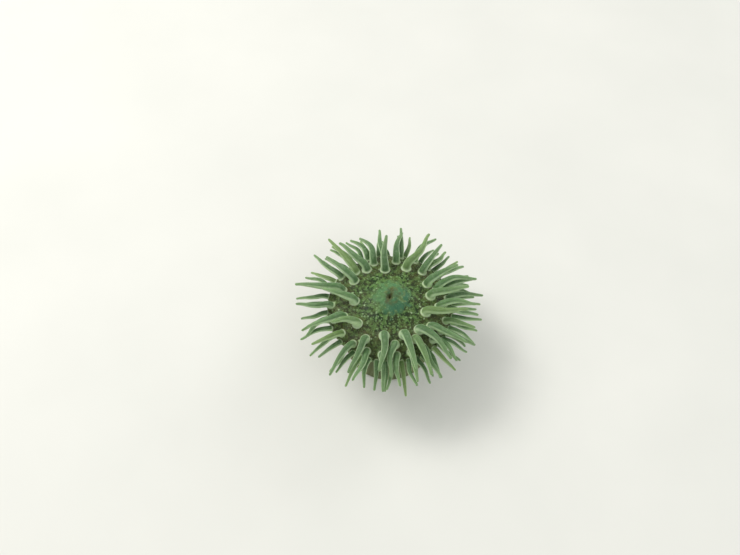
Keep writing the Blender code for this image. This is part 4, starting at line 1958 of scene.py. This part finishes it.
@dataclass(frozen=True)
class ColumnFinish:
    """The column: olive-brown above, paler towards the foot, with pale lines and suckers, painted shade in
    its furrows and a painted highlight on its ridges.
    """
    body: Colour = paint(82, 90, 58)
    # also laid into the furrows as painted shade
    dark: Colour = paint(54, 60, 36)
    low: Colour = paint(110, 118, 82)
    # the pale lines' colour, also laid on the ridges as a painted highlight
    line: Colour = paint(160, 166, 126)
    sucker: Colour = paint(172, 180, 146)
    clouds: Patches = Patches(260.0, 0.36, 0.66)
    specks: Spots = Spots(1700.0, 0.4, 0.34)
    low_fall: Fade = Fade(11.0, 1.0)
    low_strength: float = 0.8
    speck_strength: float = 0.4
    # painted shade in the furrows, and a painted highlight on the ridges
    furrow_shade: Fade = Fade(0.45, 0.0, 0.0, 0.4)
    ridge_light: Fade = Fade(0.6, 1.0, 0.0, 0.2)
    line_strength: float = 0.5
    sucker_strength: float = 0.85

    def paint(self, board: FleshBoard) -> Socket:
        """Paint the column and the foot, with painted shade in the furrows and a painted highlight on the
        ridges.

        Args:
            board: the material's board.

        Returns:
            The colour.
        """
        ridge = board.mark("ridge")
        return board.layers(
            self.dark,
            (self.body, board.patches(self.clouds)),
            (self.low, board.rise(board.coordinate("Z"), self.low_fall), self.low_strength),
            (self.sucker, board.spots(self.specks)["Mask"], self.speck_strength),
            # painted shade: the dark colour laid into the furrows
            (self.dark, board.rise(ridge, self.furrow_shade)),
            # painted highlight: the pale line colour laid on the ridge tops
            (self.line, board.rise(ridge, self.ridge_light)),
            (self.line, board.mark("line"), self.line_strength),
            (self.sucker, board.mark("sucker"), self.sucker_strength),
        )


@dataclass(frozen=True)
class FleshFinish:
    """Wet, slightly see-through flesh, marked by zones: mouth, disc, tentacles, column and foot."""
    disc: DiscFinish = DiscFinish()
    tentacles: TentacleFinish = TentacleFinish()
    column: ColumnFinish = ColumnFinish()
    tube_edge: Fade = Fade(0.35, 1.0)
    grain_scale: float = 2600.0
    grain_detail: float = 4.0
    grain_roughness: float = 0.6
    roughness: Fade = Fade(0.3, 0.7, 0.48, 0.66)
    bump_strength: float = 0.35
    bump_height: float = 0.00012
    specular: float = 0.2
    scatter: float = 0.8
    scatter_depth: tuple[float, float, float] = (1.0, 1.1, 0.7)
    scatter_scale: float = 0.0004
    sheen: float = 0.6
    sheen_roughness: float = 0.3
    sheen_tint: Colour = paint(180, 222, 168)
    coat: float = 0.03
    coat_roughness: float = 0.2

    def colour(self, board: FleshBoard) -> Socket:
        """Return the colour of the whole skin, the zones' paints laid beside each other."""
        body = board.lay(self.disc.paint(board), self.column.paint(board), board.mark("below"))
        return board.lay(body, self.tentacles.paint(board), board.rise(board.mark("tube"), self.tube_edge))

    def dress(self, material: Material) -> None:
        """Fill the material's tree."""
        material.use_nodes = True
        board = FleshBoard(material.node_tree)
        inputs = material.node_tree.nodes["Principled BSDF"].inputs
        grain = board.add("ShaderNodeTexNoise", Vector=board.place, Scale=self.grain_scale,
                          Detail=self.grain_detail, Roughness=self.grain_roughness)
        bump = board.add("ShaderNodeBump", Strength=self.bump_strength, Distance=self.bump_height,
                         Height=grain.outputs["Fac"])
        board.feed(inputs["Base Color"], self.colour(board))
        board.feed(inputs["Roughness"], board.rise(grain.outputs["Fac"], self.roughness))
        board.feed(inputs["Normal"], bump.outputs["Normal"])
        inputs["Specular IOR Level"].default_value = self.specular
        inputs["Subsurface Weight"].default_value = self.scatter
        inputs["Subsurface Radius"].default_value = self.scatter_depth
        inputs["Subsurface Scale"].default_value = self.scatter_scale
        inputs["Sheen Weight"].default_value = self.sheen
        inputs["Sheen Roughness"].default_value = self.sheen_roughness
        inputs["Sheen Tint"].default_value = self.sheen_tint
        inputs["Coat Weight"].default_value = self.coat
        inputs["Coat Roughness"].default_value = self.coat_roughness


# ---------- the anemone

@dataclass
class Anemone:
    """The whole animal as one piece of skin over its solids."""
    finish: FleshFinish = FleshFinish()
    outline: Outline = field(default_factory=Outline)

    def dress(self) -> Material:
        """Return the flesh, dressed in its finish."""
        flesh = bpy.data.materials.new("anemone flesh")
        self.finish.dress(flesh)
        return flesh

    def build(self) -> bpy.types.Object:
        """Build the skin and say what it rides on and replaces.

        Returns:
            The skin.
        """
        tentacles = Crown(self.outline).build()
        log.info("crown of %d tentacles settled", len(tentacles))
        skin = SkinMaker(self.outline, tentacles).build(self.dress())
        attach(skin, "root")
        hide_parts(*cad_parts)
        log.info("skin of %d faces", len(skin.data.polygons))
        return skin


# ---------- the studio

@dataclass(frozen=True)
class FloorFinish:
    """A plain pale floor with the faintest mottle."""
    light: Colour = paint(222, 222, 216)
    dark: Colour = paint(210, 211, 205)
    mottle_scale: float = 18.0
    mottle_detail: float = 3.0
    roughness: float = 0.8

    def dress(self, material: Material) -> None:
        """Fill the material's tree."""
        material.use_nodes = True
        board = Board(material.node_tree)
        inputs = material.node_tree.nodes["Principled BSDF"].inputs
        place = board.add("ShaderNodeTexCoord").outputs["Object"]
        clouds = board.add("ShaderNodeTexNoise", Vector=place, Scale=self.mottle_scale,
                           Detail=self.mottle_detail)
        board.feed(inputs["Base Color"], board.lay(self.dark, self.light, clouds.outputs["Fac"]))
        inputs["Roughness"].default_value = self.roughness


@dataclass(frozen=True)
class SoftBox:
    """One soft square light, aimed at the anemone: angles in degrees, metres and watts."""
    name: str
    azimuth: float
    elevation: float
    distance: float
    size: float
    power: float
    colour: tuple[float, float, float] = (1.0, 1.0, 1.0)

    def direction(self) -> Vector:
        """Return the direction from the anemone to the light."""
        azimuth, elevation = math.radians(self.azimuth), math.radians(self.elevation)
        level = math.cos(elevation)
        return Vector((level * math.cos(azimuth), level * math.sin(azimuth), math.sin(elevation)))


@dataclass
class Studio:
    """The floor, the soft lights and the camera that looks down on the crown, in metres and degrees."""
    target: Vector = field(default_factory=lambda: Vector((-0.0016, 0.0, 0.0262)))
    elevation: float = 58.0
    distance: float = 0.253
    field_of_view: float = 50.0
    sensor_width: float = 36.0
    nearest: float = 0.01
    aim_aside: float = -0.00493
    aim_above: float = 0.00781
    floor_size: float = 6.0
    room_colour: Colour = (0.92, 0.92, 0.9, 1.0)
    room_light: float = 0.68
    lights: tuple[SoftBox, ...] = (
        SoftBox("key light", 155.0, 50.0, 0.7, 0.3, 3.3, (1.0, 0.98, 0.95)),
        SoftBox("fill light", -40.0, 40.0, 0.8, 0.5, 1.4, (0.94, 0.98, 1.0)),
        SoftBox("back light", 45.0, 28.0, 0.8, 0.3, 1.2),
    )

    def build_floor(self) -> None:
        """Build the floor."""
        half = self.floor_size / 2.0
        corners = [(-half, -half, 0.0), (half, -half, 0.0), (half, half, 0.0), (-half, half, 0.0)]
        mesh = bpy.data.meshes.new("floor")
        mesh.from_pydata(corners, [], [(0, 1, 2, 3)])
        material = bpy.data.materials.new("floor")
        FloorFinish().dress(material)
        mesh.materials.append(material)
        floor = bpy.data.objects.new("floor", mesh)
        bpy.context.collection.objects.link(floor)

    def build_light(self, plan: SoftBox) -> None:
        """Build one soft light and aim it at the anemone."""
        data = bpy.data.lights.new(plan.name, "AREA")
        data.size = plan.size
        data.energy = plan.power
        data.color = plan.colour
        away = plan.direction()
        lamp = bpy.data.objects.new(plan.name, data)
        lamp.location = self.target + away * plan.distance
        lamp.rotation_euler = (-away).to_track_quat("-Z", "Y").to_euler()
        bpy.context.collection.objects.link(lamp)

    def build_room(self) -> None:
        """Build the pale surroundings."""
        world = bpy.data.worlds.new("pale room")
        world.use_nodes = True
        inputs = world.node_tree.nodes["Background"].inputs
        inputs["Color"].default_value = self.room_colour
        inputs["Strength"].default_value = self.room_light
        bpy.context.scene.world = world

    def build_camera(self) -> None:
        """Build the camera in front of the crown and above it."""
        data = bpy.data.cameras.new("camera")
        data.sensor_width = self.sensor_width
        data.lens = 0.5 * self.sensor_width / math.tan(math.radians(self.field_of_view) / 2.0)
        data.clip_start = self.nearest
        tilt = math.radians(self.elevation)
        away = Vector((0.0, -math.cos(tilt), math.sin(tilt)))
        upward = Vector((0.0, math.sin(tilt), math.cos(tilt)))
        camera = bpy.data.objects.new("camera", data)
        camera.location = self.target + away * self.distance
        aim = self.target + Vector((self.aim_aside, 0.0, 0.0)) + upward * self.aim_above
        camera.rotation_euler = (aim - camera.location).to_track_quat("-Z", "Y").to_euler()
        bpy.context.collection.objects.link(camera)
        bpy.context.scene.camera = camera

    def build(self) -> None:
        """Build the whole studio."""
        self.build_floor()
        for plan in self.lights:
            self.build_light(plan)
        self.build_room()
        self.build_camera()
        bpy.context.scene.view_settings.view_transform = "Standard"


def main() -> None:
    """Build and dress the anemone, its floor, the lights and the camera."""
    logging.basicConfig(level=logging.INFO, format="%(name)s: %(message)s")
    Anemone().build()
    Studio().build()


if __name__ == "__main__":
    main()
